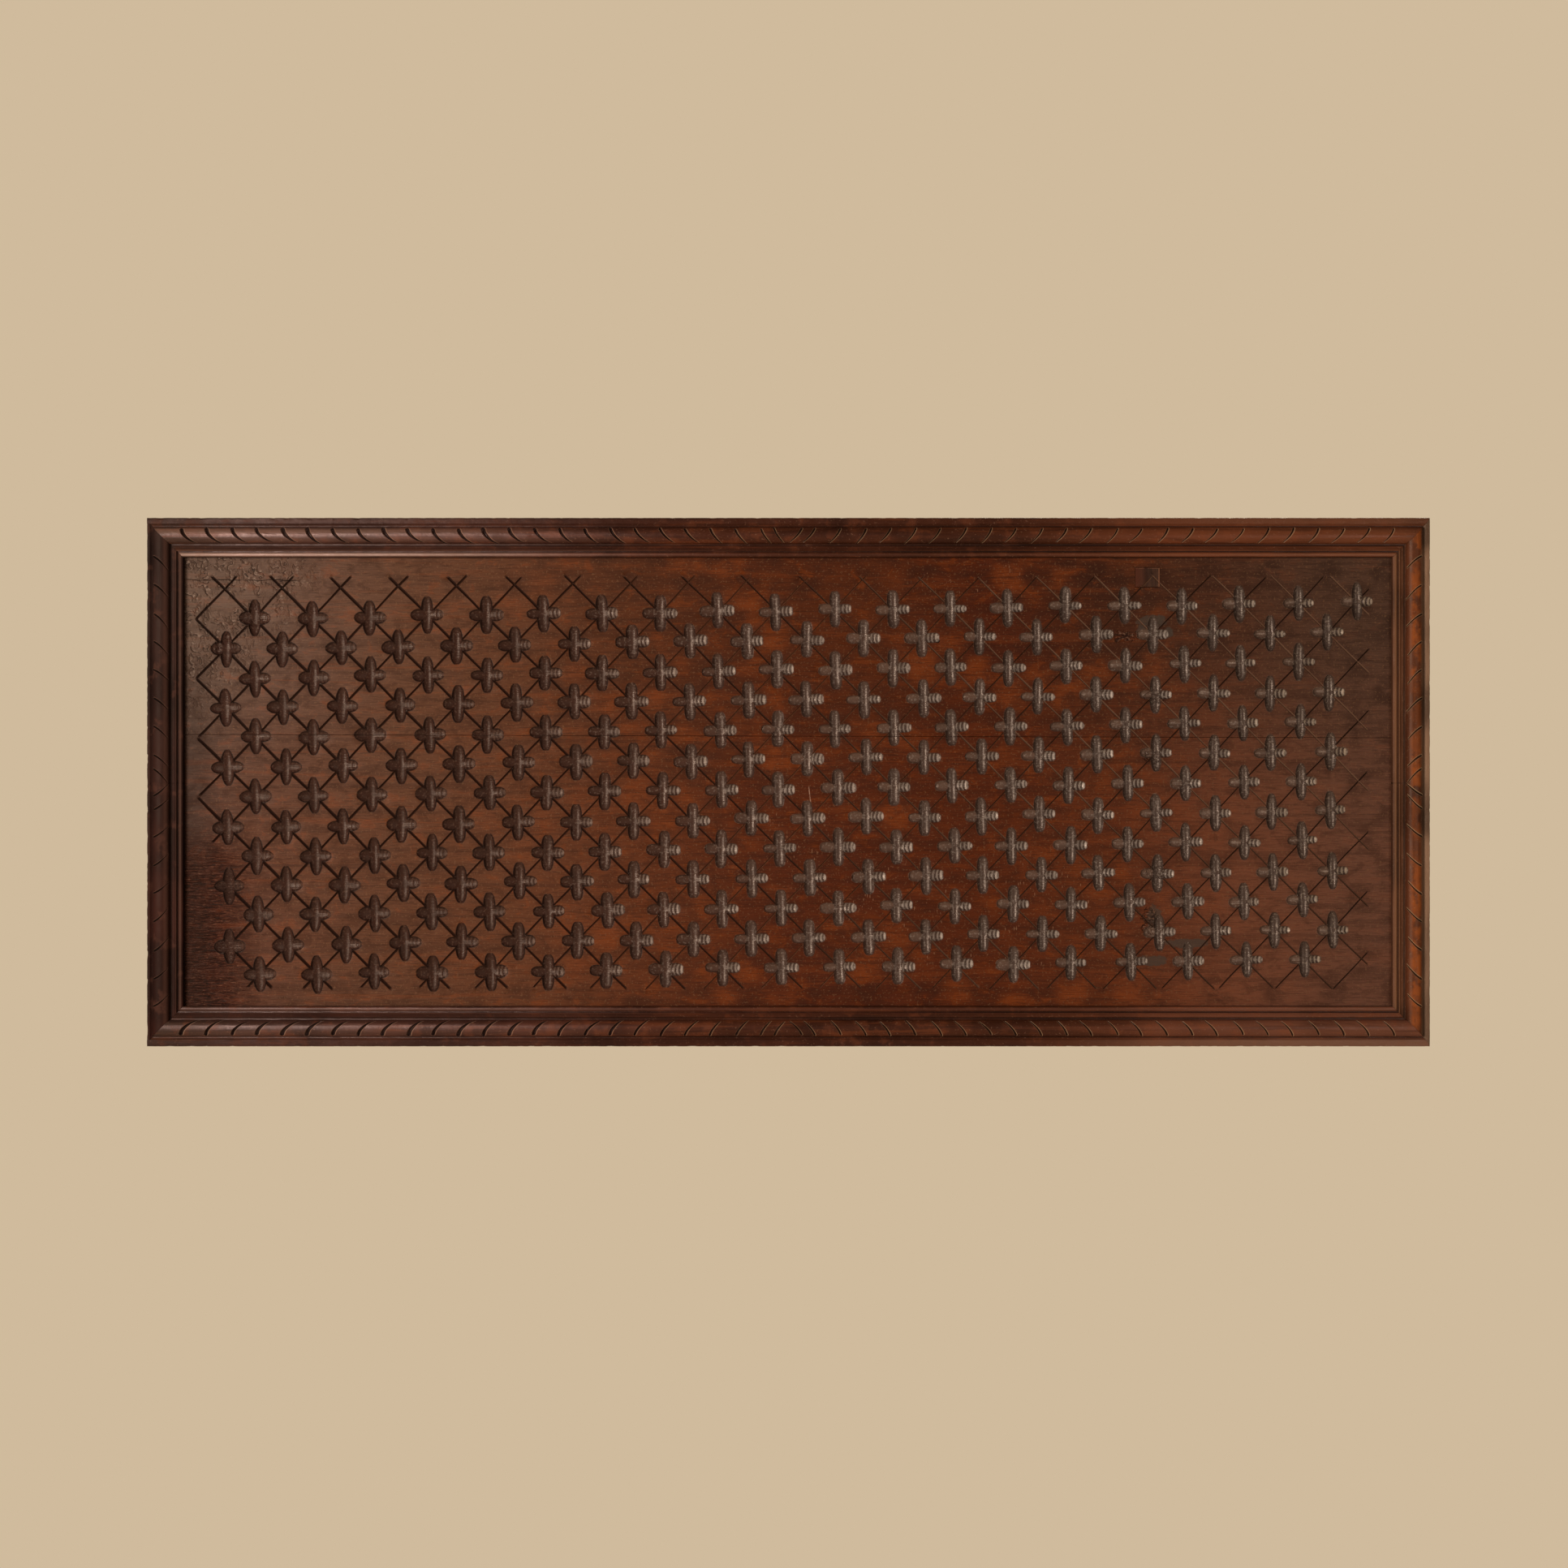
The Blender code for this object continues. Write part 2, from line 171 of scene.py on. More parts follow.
# Fine V-cut lines through the crosses
LINE_HALF_WIDTH = (0.0026, 0.0016, 0.0015)
LINE_DEPTH = (0.0021, 0.0015, 0.0018)
RISING_SHARE = 0.80
LINE_STEP = 0.0042
LINE_WANDER = 0.0005
LINE_TAPER = 0.004
LINE_REACH = 0.15
LINES_LEFT = -0.9235
LINES_RIGHT = 0.9080
LINES_TOP = 0.3235
LINES_BOTTOM = -0.3240
LINE_UNIT = 1 / math.hypot(1 / HALF_ACROSS, 1 / HALF_DOWN)
STEP_LENGTH = math.hypot(HALF_ACROSS, HALF_DOWN)
MOST_STEPS = 60
LINE_SIDES = (-1, -0.7, 0, 0.7, 1)
SWALLOWED_DEPTH = 0.0034
RIM_TOLERANCE = 3e-5

# Loose points of the flat ground, in rows that are shifted and jittered
GROUND_STEP = 0.0095
GROUND_ROW = 0.87
GROUND_JITTER = 0.3
GROUND_EDGE = 0.003
GROUND_CLEAR = 0.002
GROUND_WAVE = 0.0004
GROUND_WAVE_LENGTH = 0.23

# Eased edges along the joint of the boards and round the patch
EDGE_EASE_WIDTH = 0.0004
EDGE_EASE_DEPTH = 0.0005
EDGE_STEP = 0.004

# Gouge cuts of the bead: deep and wide on the left of the long rails, thin on the right
CUT_PLACES = (-0.45, -0.05, 0.5)
CUT_SWEEP = (0.0260, 0.0175, 0.0180)
CUT_HALF_WIDTH = (0.0036, 0.0018, 0.0017)
CUT_DEPTH = (0.0048, 0.0022, 0.0021)
LEFT_CUT = (0.0190, 0.0018, 0.0022)
RIGHT_CUT = (0.0200, 0.0018, 0.0024)
CUT_SLANT = (0.15, 1.0, 1.0)
CUT_SIDES = (-1, -0.6, -0.25, 0, 0.25, 0.6, 1)
CUT_ROUND = 1.4
CUT_RIM = 0.0008
# Strength of the painted highlight along each side of a cut, full on its lit side
CUT_LIT = {1: 1.0, -1: 0.35}
FULL_GROOVE = 0.0012
EXTRA_CUT_REACH = CUT_PITCH_LONG * 0.72
RAIL_STEP = 0.0045
LIP_EASE = 0.0012
MITRE_GAP = HALF_GAP * 1.41
RAIL_UNEVEN = 0.00030
RAIL_RIPPLE = 0.00016
LEFT_WEAR = 0.0009
OTHER_WEAR = 0.0005
BOARD_CREASE = math.radians(38)
RAIL_CREASE = math.radians(40)
TOP_RAIL, BOTTOM_RAIL, LEFT_RAIL, RIGHT_RAIL = range(1, 5)
LONG_RAILS = (TOP_RAIL, BOTTOM_RAIL)

# Steady hand: weights of its keys, a large spread, and the seed of each kind of drift
HAND_WEIGHTS = (12.9898, 78.233, 37.719)
HAND_SPREAD = 43758.5453
GROUND_SEED, UNEVEN_SEED, RIPPLE_SEED, WEAR_SEED, CHIP_SEED = 21, 40, 50, 60, 70

# Finish of the faces of a board: plain, sawn back, crazed at the left end, repaired on the right
PLAIN, BACK, CRAZED, REPAIRED = range(4)
CRAZED_END = -0.66
REPAIRS_X = 0.575
REPAIRS_REACH = 0.085


def hand(*key):
    """Steady unevenness from -1 to 1 for one place of the hand work."""
    mixed = sum(value * weight for value, weight in zip(key, HAND_WEIGHTS))
    return 2 * ((math.sin(mixed) * HAND_SPREAD) % 1.0) - 1


def along_panel(x, values):
    """Value at x of something given at the left, in the middle and at the right."""
    return np.interp(x, PANEL_PLACES, values)


def smooth(low, high, value):
    """Climbs smoothly from 0 to 1 while the value goes from low to high."""
    t = np.clip((value - low) / (high - low), 0.0, 1.0)
    return t * t * (3 - 2 * t)


def turned(angle):
    """Plan axes turned by an angle: to the right and upwards, as rows."""
    return np.array([[math.cos(angle), math.sin(angle)], [-math.sin(angle), math.cos(angle)]])


def drift(x, z, size, seed):
    """Gentle unevenness from -1 to 1 with the given wavelength."""
    total = np.zeros_like(np.asarray(x, dtype=float))
    for k in range(5):
        turn = hand(seed, k, 1) * math.pi
        phase = hand(seed, k, 2) * math.pi
        rate = 2 * math.pi / size * (0.6 + 0.25 * k)
        total += np.sin((x * math.cos(turn) + z * math.sin(turn)) * rate + phase)
    return total / 5


class Cross:
    """One hollow cross: an upright canoe cut over two level petals."""

    def __init__(self, column, row, centre):
        def uneven(key):
            return hand(column, row, key)

        def here(values):
            return float(along_panel(centre[0], values))

        self.centre = centre
        self.axes = turned(LATTICE_TURN + CROSS_LEAN * uneven(9))
        self.right, self.up, self.left, self.down = (
            CROSS_REACH + CROSS_WANDER * uneven(3 + arm) for arm in range(4))
        self.right += here(LEVEL_REACH)
        self.left += here(LEVEL_REACH)
        self.up += UPRIGHT_REACH
        self.down += UPRIGHT_REACH
        self.power = here(CANOE_POWER)
        self.root = here(CANOE_ROOT)
        self.right_blunt = here(RIGHT_BLUNT)
        self.left_blunt = here(LEFT_BLUNT)
        self.tip_root = here(TIP_ROOT)
        self.canoe_half = here(CANOE_HALF_WIDTH) * (1 + CANOE_UNEVEN * uneven(11))
        self.left_half = here(LEFT_HALF_WIDTH) * (1 + HAND_UNEVEN * uneven(12))
        self.right_half = here(RIGHT_HALF_WIDTH) * (1 + HAND_UNEVEN * uneven(13))
        self.canoe_depth = CANOE_DEPTH * (1 + HAND_UNEVEN * uneven(14))
        self.petal_depth = PETAL_DEPTH * (1 + HAND_UNEVEN * uneven(15))
        self.ripple = RIPPLE_DEPTH * max(0.15, 0.6 + 0.6 * uneven(16)) * here(RIPPLE_SHARE)
        self.phase = math.pi * uneven(17)
        self.skew = HAND_UNEVEN * uneven(18)

    def local(self, points):
        return (points - self.centre) @ self.axes.T

    def world(self, points):
        return np.asarray(points) @ self.axes + self.centre

    def canoe_plan(self, z):
        t = np.abs(z) / np.where(z > 0, self.up, self.down)
        return self.canoe_half * np.clip(1 - t ** self.power, 0, 1) ** self.root

    def canoe(self, x, z):
        """Depth of the upright hollow, and how near its rim lies, for the painted shade on its
        walls.
        """
        t = np.abs(z) / np.where(z > 0, self.up, self.down)
        half = np.maximum(self.canoe_plan(z), THINNEST)
        floor = self.canoe_depth * np.clip(1 - t ** FLOOR_POWER, 0, 1) ** FLOOR_ROOT
        beat = 2 * math.pi * z / CANOE_RIPPLE_PITCH + self.phase
        floor = floor - CANOE_RIPPLE * self.ripple * (0.5 + 0.5 * np.cos(beat))
        return shaped(np.abs(x) / half, half, floor, t < 1)

    def arm(self, side):
        if side > 0:
            return self.right, self.right_half, self.right_blunt
        return self.left, self.left_half, self.left_blunt

    def petal_plan(self, side, x):
        reach, half, blunt = self.arm(side)
        t = np.clip(x / reach, 0, 1)
        swell = np.sin(math.pi / 2 * np.clip(t / PETAL_SWELL_END, 0, 1))
        fall = np.clip(1 - tail(t, *PETAL_FALL) ** blunt, 0, 1)
        return half * (1 - PETAL_SWELL + PETAL_SWELL * swell) * fall ** self.tip_root

    def crests(self, x, z):
        """1 on the crests that the gouge left across a level arm, 0 between them."""
        beat = 2 * math.pi * (x - RIPPLE_BEND * z * z) / RIPPLE_PITCH + self.phase
        return (0.5 + 0.5 * np.cos(beat)) ** CREST_POWER

    def petal(self, side, x, z):
        """Depth of a level hollow; x runs outwards from the middle of the cross."""
        reach, _, blunt = self.arm(side)
        slope = RIGHT_FLOOR_SLOPE if side > 0 else LEFT_FLOOR_SLOPE
        size = self.ripple if side > 0 else LEFT_RIPPLE * self.ripple
        t = x / reach
        half = np.maximum(self.petal_plan(side, x), THINNEST)
        floor = self.petal_depth * (1 - slope * np.clip(t, 0, 1))
        rise = np.clip(1 - tail(t, *FLOOR_RISE) ** blunt, 0, 1) ** FLOOR_ROOT
        floor = floor * rise - size * self.crests(x, z) * smooth(RIPPLE_START, RIPPLE_FULL, t)
        return shaped(np.abs(z + self.skew * z) / half, half, floor, (t < 1) & (t > 0))


def tail(t, start, length):
    """Share of the way along a stretch, 0 before it and 1 beyond."""
    return np.clip((t - start) / length, 0, 1)


def shaped(s, half, floor, inside):
    """Round cross-section of a hollow, eased over its rim, with the share of its wall and rim
    that the finish paints in shade.
    """
    ring = 1 + RIM_EASE_WIDTH / half
    outside = np.clip((ring - s) / (ring - 1), 0, 1)
    eased = np.where(s > 1, RIM_EASE_DEPTH * outside ** 2, RIM_EASE_DEPTH)
    hollow = np.maximum(floor, 0) * np.clip(1 - s ** HOLLOW_ROUND, 0, 1)
    wall = tail(np.minimum(s, 1), *RIM_WALL) ** RIM_ROUND
    return np.where(inside, hollow + eased, 0.0), np.where(inside, wall * outside, 0.0)


def crosses():
    """Every cross of the lattice, row by row from below."""
    right, up = turned(LATTICE_TURN)
    columns = int(((OPENING_RIGHT - OPENING_LEFT) / 2 - LATTICE_SIDE_MARGIN) / HALF_ACROSS)
    rows = int(((OPENING_TOP - OPENING_BOTTOM) / 2 - LATTICE_END_MARGIN) / HALF_DOWN)
    places = [(column, row) for row in range(-rows, rows + 1)
              for column in range(-columns, columns + 1) if (column + row) % 2 == 0]
    last = max(column for column, row in places if row == rows)
    places += [(last + 2 * (k + 1), rows) for k in range(EXTRA_TOP_CROSSES)]
    found = []
    for column, row in places:
        centre = LATTICE_SHIFT + right * (column * HALF_ACROSS) + up * (row * HALF_DOWN)
        centre = centre + np.array([hand(column, row, 1), hand(column, row, 2)]) * CROSS_WANDER
        found.append(Cross(column, row, centre))
    return found


class Points:
    """Plan points and the edges between them, gathered for one triangulation."""

    def __init__(self):
        self.blocks = []
        self.edges = []
        self.count = 0

    def add(self, points):
        self.blocks.append(np.asarray(points, dtype=float).reshape(-1, 2))
        self.count += len(self.blocks[-1])

    def chain(self, points, keep=None):
        """Adds points in a row, with an edge between neighbours that are both kept."""
        points = np.asarray(points, dtype=float)
        keep = np.ones(len(points), bool) if keep is None else keep
        number = np.cumsum(keep) - 1 + self.count
        self.add(points[keep])
        for k in range(len(points) - 1):
            if keep[k] and keep[k + 1]:
                self.edges.append((number[k], number[k + 1]))


def meeting(cross, side, fraction):
    """Where a petal's lengthwise line leaves the canoe, as (x, z) of the cross."""
    x = MEETING_PLACES
    z = fraction * cross.petal_plan(side, x)
    gap = cross.petal(side, x, z)[0] - cross.canoe(side * x, z)[0]
    if abs(fraction) == 1:
        gap = np.abs(x) - cross.canoe_plan(z)
    turns = np.nonzero((gap[:-1] < 0) & (gap[1:] >= 0))[0]
    k = turns[0] if len(turns) else MEETING_FALLBACK
    f = gap[k] / (gap[k] - gap[k + 1]) if len(turns) else 0.5
    return side * (x[k] + f * (x[k + 1] - x[k])), z[k] + f * (z[k + 1] - z[k])


def canoe_points(cross, cloud):
    """Rows of points along the upright hollow, closer together at its ends."""
    count = int((cross.up + cross.down) / STATION_STEP)
    f = np.linspace(-1, 1, count + 1)
    f = np.sign(f) * (1 - (1 - np.abs(f)) ** 1.15)
    z = np.where(f > 0, f * cross.up, f * cross.down)
    half = cross.canoe_plan(z)
    for fraction in FRACTIONS:
        side = 1 if fraction > 0 else -1
        if abs(fraction) < 1:
            x, height = fraction * half[1:-1], z[1:-1]
            other = cross.petal(side, np.abs(x), height)[0]
            keep = other < np.maximum(cross.canoe(x, height)[0], SHALLOWEST) - SHALLOWEST / 2
        else:
            x, height = fraction * half, z
            keep = np.abs(height) > corner_height(cross, side)
        cloud.chain(cross.world(np.column_stack([x, height])), keep)
    for side in (-1, 1):
        x = side * (half + RIM_EASE_WIDTH)
        height = z * (1 + RIM_EASE_WIDTH / cross.up)
        keep = np.abs(height) > corner_height(cross, side) + RIM_EASE_WIDTH
        cloud.chain(cross.world(np.column_stack([x, height])), keep)


def corner_height(cross, side):
    """Half height of a petal's mouth, where its rim meets the canoe's."""
    return abs(meeting(cross, side, 1)[1])


def petal_points(cross, side, cloud):
    """Rows of points along a level hollow, its arris with the canoe and its rim."""
    reach = cross.arm(side)[0]
    step = RIPPLE_PITCH / 4 if side > 0 else STATION_STEP
    arris = [meeting(cross, side, fraction) for fraction in FRACTIONS]
    start = min(abs(met[0]) for met in arris)
    f = np.linspace(0, 1, int((reach - start) / step) + 1)
    x = start + (reach - start) * (1 - (1 - f) ** 1.2)
    half = cross.petal_plan(side, x)
    for fraction, met in zip(FRACTIONS, arris):
        keep = np.abs(x) > abs(met[0]) + 0.3 * step
        if abs(fraction) < 1:
            keep[-1] = False
        line = np.concatenate([[met], np.column_stack([side * x, fraction * half])])
        cloud.chain(cross.world(line), np.concatenate([[True], keep]))
    cloud.chain(cross.world(np.array(arris)))
    for fraction in (-1, 1):
        ring = np.column_stack([side * x * (1 + RIM_EASE_WIDTH / reach),
                                fraction * (half + RIM_EASE_WIDTH)])
        keep = np.abs(x) > abs(arris[-1][0]) + RIM_EASE_WIDTH
        cloud.chain(cross.world(ring), keep)


def carving_depth(points, held):
    """Depth of the crosses at plan points, with the shares of their rims for painted shade, of
    their right arms for painted highlights, and of their left arms.
    """
    depth, rim, finger, petal = np.zeros((4, len(points)))
    order = np.argsort(points[:, 0], kind="stable")
    sorted_x = points[order, 0]
    for cross in held:
        middle_x, middle_z = cross.centre
        low, high = np.searchsorted(sorted_x, [middle_x - FURTHEST_REACH,
                                               middle_x + FURTHEST_REACH])
        near = order[low:high]
        near = near[np.abs(points[near, 1] - middle_z) < FURTHEST_REACH]
        x, z = cross.local(points[near]).T
        upright, canoe_rim = cross.canoe(x, z)
        right, right_rim = cross.petal(1, x, z)
        left, left_rim = cross.petal(-1, -x, z)
        deepest = np.maximum(upright, np.maximum(right, left))
        edge = np.where(right >= deepest, right_rim, left_rim)
        edge = np.where(upright >= deepest, canoe_rim, edge)
        depth[near] = np.maximum(depth[near], deepest)
        rim[near] = np.maximum(rim[near], edge)
        # Weight of the painted highlight on the ripple crests and the tips of a right arm
        crest_highlight = 0.15 + 0.55 * cross.crests(x, z) + 0.30 * smooth(0.70, 0.92, x / cross.right)
        in_right = (right > upright) & (right > SHALLOWEST)
        finger[near] = np.maximum(finger[near], crest_highlight * in_right)
        petal[near] = np.maximum(petal[near], (left > upright) & (left > SHALLOWEST))
    return depth, rim, finger, petal


class Line:
    """One V-cut; places along it are counted in lattice steps. Family 1 rises to the right."""

    def __init__(self, family, number):
        self.family = family
        self.number = number
        self.low, self.high = self.ends()

    def hand(self, key):
        return hand(self.number, self.family, key)

    def wander(self, along):
        """Sideways wander of the cut."""
        waves = (np.sin(0.9 * along + math.pi * self.hand(1))
                 + 0.5 * np.sin(2.3 * along + math.pi * self.hand(2)))
        return LINE_WANDER * (waves + 0.8 * self.hand(3))

    def half_width(self, x, along):
        wide = along_panel(x, LINE_HALF_WIDTH)
        if self.family > 0:
            wide = wide * RISING_SHARE
        return wide * (1 + 0.12 * np.sin(1.7 * along + 3 * self.hand(4)))

    def points(self, along, offset=0.0):
        """Plan points at the given places along the cut, moved sideways by offset."""
        column = (along - self.number) / 2 * self.family
        row = (along + self.number) / 2
        flat = np.column_stack([column * HALF_ACROSS, row * HALF_DOWN])
        across = np.array([-self.family / HALF_ACROSS, 1 / HALF_DOWN]) * LINE_UNIT
        shift = self.wander(along) + offset
        return (flat + across * shift[:, None]) @ turned(LATTICE_TURN) + LATTICE_SHIFT

    def ends(self):
        """Where the cut starts and stops; both are 0 where it misses the field."""
        along = np.linspace(-MOST_STEPS, MOST_STEPS, 4001)
        x, z = self.points(along).T
        # The lines stop short of the left edge in the coarse wood low on the left
        left = np.interp(z, (-0.16, -0.04), (-0.878, LINES_LEFT))
        inside = (x > left) & (x < LINES_RIGHT) & (z > LINES_BOTTOM) & (z < LINES_TOP)
        if inside.sum() < 3:
            return 0, 0
        ends = []
        for k, way in ((0, 1), (-1, -1)):
            end = along[inside][k]
            node = 2 * round(end / 2)
            # High on the left the lines meet in a point at the last place of the lattice
            if abs(end - node) < 0.3 and x[inside][k] < -0.9 and z[inside][k] > 0.12:
                ends.append(node - 0.04 * way)
            else:
                ends.append(end + 0.08 * self.hand(5 - k))
        return ends

    def beside(self, column, row):
        """Which lattice places lie beside the cut, how far along it and how far across."""
        across = row - self.family * column - self.number
        along = row + self.family * column
        near = np.nonzero((np.abs(across) < LINE_REACH) & (along > self.low)
                          & (along < self.high))[0]
        return near, along[near], across[near] * LINE_UNIT - self.wander(along[near])

    def taper(self, along):
        ends = np.minimum(along - self.low, self.high - along)
        return smooth(0, 1, ends / (LINE_TAPER / STEP_LENGTH * 2))


def line_depth(points, lines):
    """Depth of the V-cuts at plan points, which of them rise, and the points on their rims."""
    flat = (points - LATTICE_SHIFT) @ turned(LATTICE_TURN).T
    depth, rising, rim = np.zeros((3, len(points)))
    for line in lines:
        near, along, offset = line.beside(flat[:, 0] / HALF_ACROSS, flat[:, 1] / HALF_DOWN)
        half = line.half_width(points[near, 0], along)
        cut = along_panel(points[near, 0], LINE_DEPTH) * line.taper(along)
        cut = cut * np.clip(1 - np.abs(offset) / half, 0, 1)
        rising[near] = np.where(cut > depth[near], line.family > 0, rising[near])
        depth[near] = np.maximum(depth[near], cut)
        rim[near] = np.maximum(rim[near], np.abs(np.abs(offset) - half) < RIM_TOLERANCE)
    return depth, rising, rim


def within(points, box, margin=0.0):
    """Which points lie in a box, clear of its edges by the margin."""
    low, high = box
    return ((points > low + margin) & (points < high - margin)).all(axis=1)


def add_lines(cloud, lines, box, held):
    """Rows of points along each V-cut, left out where a hollow swallows it."""
    step = LINE_STEP / STEP_LENGTH * 2
    for line in lines:
        along = np.linspace(line.low, line.high, max(3, int((line.high - line.low) / step)))
        centre = line.points(along)
        keep = (carving_depth(centre, held)[0] < SWALLOWED_DEPTH) & within(centre, box)
        half = line.half_width(centre[:, 0], along)
        for side in LINE_SIDES:
            cloud.chain(line.points(along, side * half), keep)


def segment_distance(points, start, end):
    along = end - start
    f = np.clip(((points - start) @ along) / (along @ along), 0, 1)
    return np.linalg.norm(points - start - f[:, None] * along, axis=1)


def add_eased_edge(cloud, start, end):
    """Rows of points beside an eased edge, on both sides of it."""
    length = np.linalg.norm(end - start)
    along = (end - start) / length
    across = np.array([-along[1], along[0]])
    f = np.linspace(EDGE_EASE_WIDTH, length - EDGE_EASE_WIDTH, max(3, int(length / EDGE_STEP)))
    for side in (-1, -0.5, 0.5, 1):
        cloud.chain(start + f[:, None] * along + across * (side * EDGE_EASE_WIDTH))


def ground_points(box, held, lines):
    """Loose points of the flat ground, clear of the carving."""
    (low_x, low_z), (high_x, high_z) = box
    grid_x, grid_z = np.meshgrid(
        np.arange(low_x + 0.004, high_x - 0.002, GROUND_STEP),
        np.arange(low_z + 0.004, high_z - 0.002, GROUND_STEP * GROUND_ROW))
    grid_x[1::2] += GROUND_STEP / 2
    points = np.column_stack([grid_x.ravel(), grid_z.ravel()])
    points += GROUND_JITTER * GROUND_STEP * np.column_stack([
        np.sin(points[:, 0] * 911 + points[:, 1] * 577),
        np.sin(points[:, 0] * 397 - points[:, 1] * 1013)])
    points = points[within(points, box, GROUND_EDGE)]
    clear = np.ones(len(points), bool)
    for shift in ((0, 0), (1, 0), (-1, 0), (0, 1), (0, -1)):
        moved = points + np.array(shift) * GROUND_CLEAR
        clear &= carving_depth(moved, held)[0] <= 0
        clear &= line_depth(moved, lines)[0] <= 0
    return points[clear]


def front_height(points, held, lines, eased):
    """Height of the carved face and the shares that the finish reads."""
    hollow, rim, finger, petal = carving_depth(points, held)
    groove, rising, line_rim = line_depth(points, lines)
    low = 0.5 + 0.5 * drift(points[:, 0], points[:, 1], GROUND_WAVE_LENGTH, GROUND_SEED)
    wave = GROUND_WAVE * low * (hollow <= 0)
    edge = np.zeros(len(points))
    for start, end in eased:
        near = np.clip(1 - segment_distance(points, start, end) / EDGE_EASE_WIDTH, 0, 1)
        edge = np.maximum(edge, near)
    depth = np.maximum(np.maximum(hollow, groove), EDGE_EASE_DEPTH * edge ** 1.5)
    depth = depth + wave * (groove <= 0)
    return BOARD_THICKNESS - depth, {
        "hollow": smooth(0.0001, 0.0009, hollow), "petal": petal, "rim": rim,
        "finger": finger, "edge": edge, "rising": rising, "line_rim": line_rim,
        "groove": np.clip(groove / 0.0004, 0, 1) * (hollow < 0.0008)}


def front_slot(x):
    """Finish of the carved face at x."""
    repaired = np.where(abs(x - REPAIRS_X) < REPAIRS_REACH, REPAIRED, PLAIN)
    return np.where(x < CRAZED_END, CRAZED, repaired)


def add_shares(mesh, shares):
    """Stores the shares that the finish reads; points beyond their values get 0."""
    for key, values in shares.items():
        full = np.zeros(len(mesh.vertices), dtype=np.float32)
        full[:values.size] = values.ravel()
        mesh.attributes.new(key, "FLOAT", "POINT").data.foreach_set("value", full)


def show(name, mesh, node, materials):
    """Lets a mesh stand for its node, ride with the body and take its finish."""
    piece = bpy.data.objects.new(name, mesh)
    bpy.context.collection.objects.link(piece)
    for material in materials:
        mesh.materials.append(material)
    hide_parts(node)
    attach(piece, "root")


def carved_slab(name, outline, bottom, cloud, height_of, hole=(), hole_bottom=0.0):
    """Closed block with a carved face over its outline, and a pocket where it has a hole."""
    fixed = [np.asarray(corner, float) for corner in (*outline, *hole)]
    outer = range(len(outline))
    inner = range(len(outline), len(fixed))
    points = np.concatenate([np.array(fixed)] + cloud.blocks)
    edges = [(a + len(fixed), b + len(fixed)) for a, b in cloud.edges]
    verts, _, tris, sources, _, owners = geometry.delaunay_2d_cdt(
        [Vector(point) for point in points.tolist()], edges,
        [list(ring) for ring in (outer, inner) if ring], 0, 1e-6)
    kept = [tri for tri, owner in zip(tris, owners) if owner == [0]]
    used = sorted({corner for tri in kept for corner in tri})
    number = {old: new for new, old in enumerate(used)}
    kept = [tuple(number[corner] for corner in tri) for tri in kept]
    plan = np.array([verts[old][:] for old in used])
    height, shares = height_of(plan)
    places = np.column_stack([plan[:, 0], -height, plan[:, 1]]).tolist()

    below = [len(places) + k for k in range(len(fixed))]
    for k, corner in enumerate(fixed):
        places.append((corner[0], -(bottom if k in outer else hole_bottom), corner[1]))
    faces = kept + [[below[k] for k in reversed(outer)]]
    if hole:
        faces.append([below[k] for k in inner])
    corner_at = {number[old]: source for old in used for source in sources[old]
                 if source < len(fixed)}
    directed = {(tri[k], tri[(k + 1) % 3]) for tri in kept for k in range(3)}
    follow = {a: b for a, b in directed if (b, a) not in directed}
    for start in corner_at:
        chain = [start]
        while len(chain) == 1 or chain[-1] not in corner_at:
            chain.append(follow[chain[-1]])
        faces.append(chain[::-1] + [below[corner_at[start]], below[corner_at[chain[-1]]]])

    mesh = bpy.data.meshes.new(name)
    mesh.from_pydata(places, [], faces)
    add_shares(mesh, shares)
    slot = np.full(len(faces), BACK, dtype=np.int32)
    slot[:len(kept)] = front_slot(plan[np.array(kept)].mean(axis=1)[:, 0])
    mesh.polygons.foreach_set("material_index", slot)
    mesh.shade_smooth()
    mesh.set_sharp_from_angle(angle=BOARD_CREASE)
    sharpen(mesh, shares["line_rim"] > 0)
    mesh.update()
    return mesh


def sharpen(mesh, on_rim):
    """Keeps the edges between flagged points crisp."""
    ends = np.zeros(len(mesh.edges) * 2, dtype=np.int32)
    mesh.edges.foreach_get("vertices", ends)
    flags = np.zeros(len(mesh.vertices), bool)
    flags[:len(on_rim)] = on_rim
    layer = mesh.attributes["sharp_edge"]
    sharp = np.zeros(len(mesh.edges), dtype=bool)
    layer.data.foreach_get("value", sharp)
    layer.data.foreach_set("value", sharp | flags[ends].reshape(-1, 2).all(axis=1))


def sides(corners):
    """The sides of a closed outline, as pairs of corners."""
    return list(zip(corners, corners[1:] + corners[:1]))


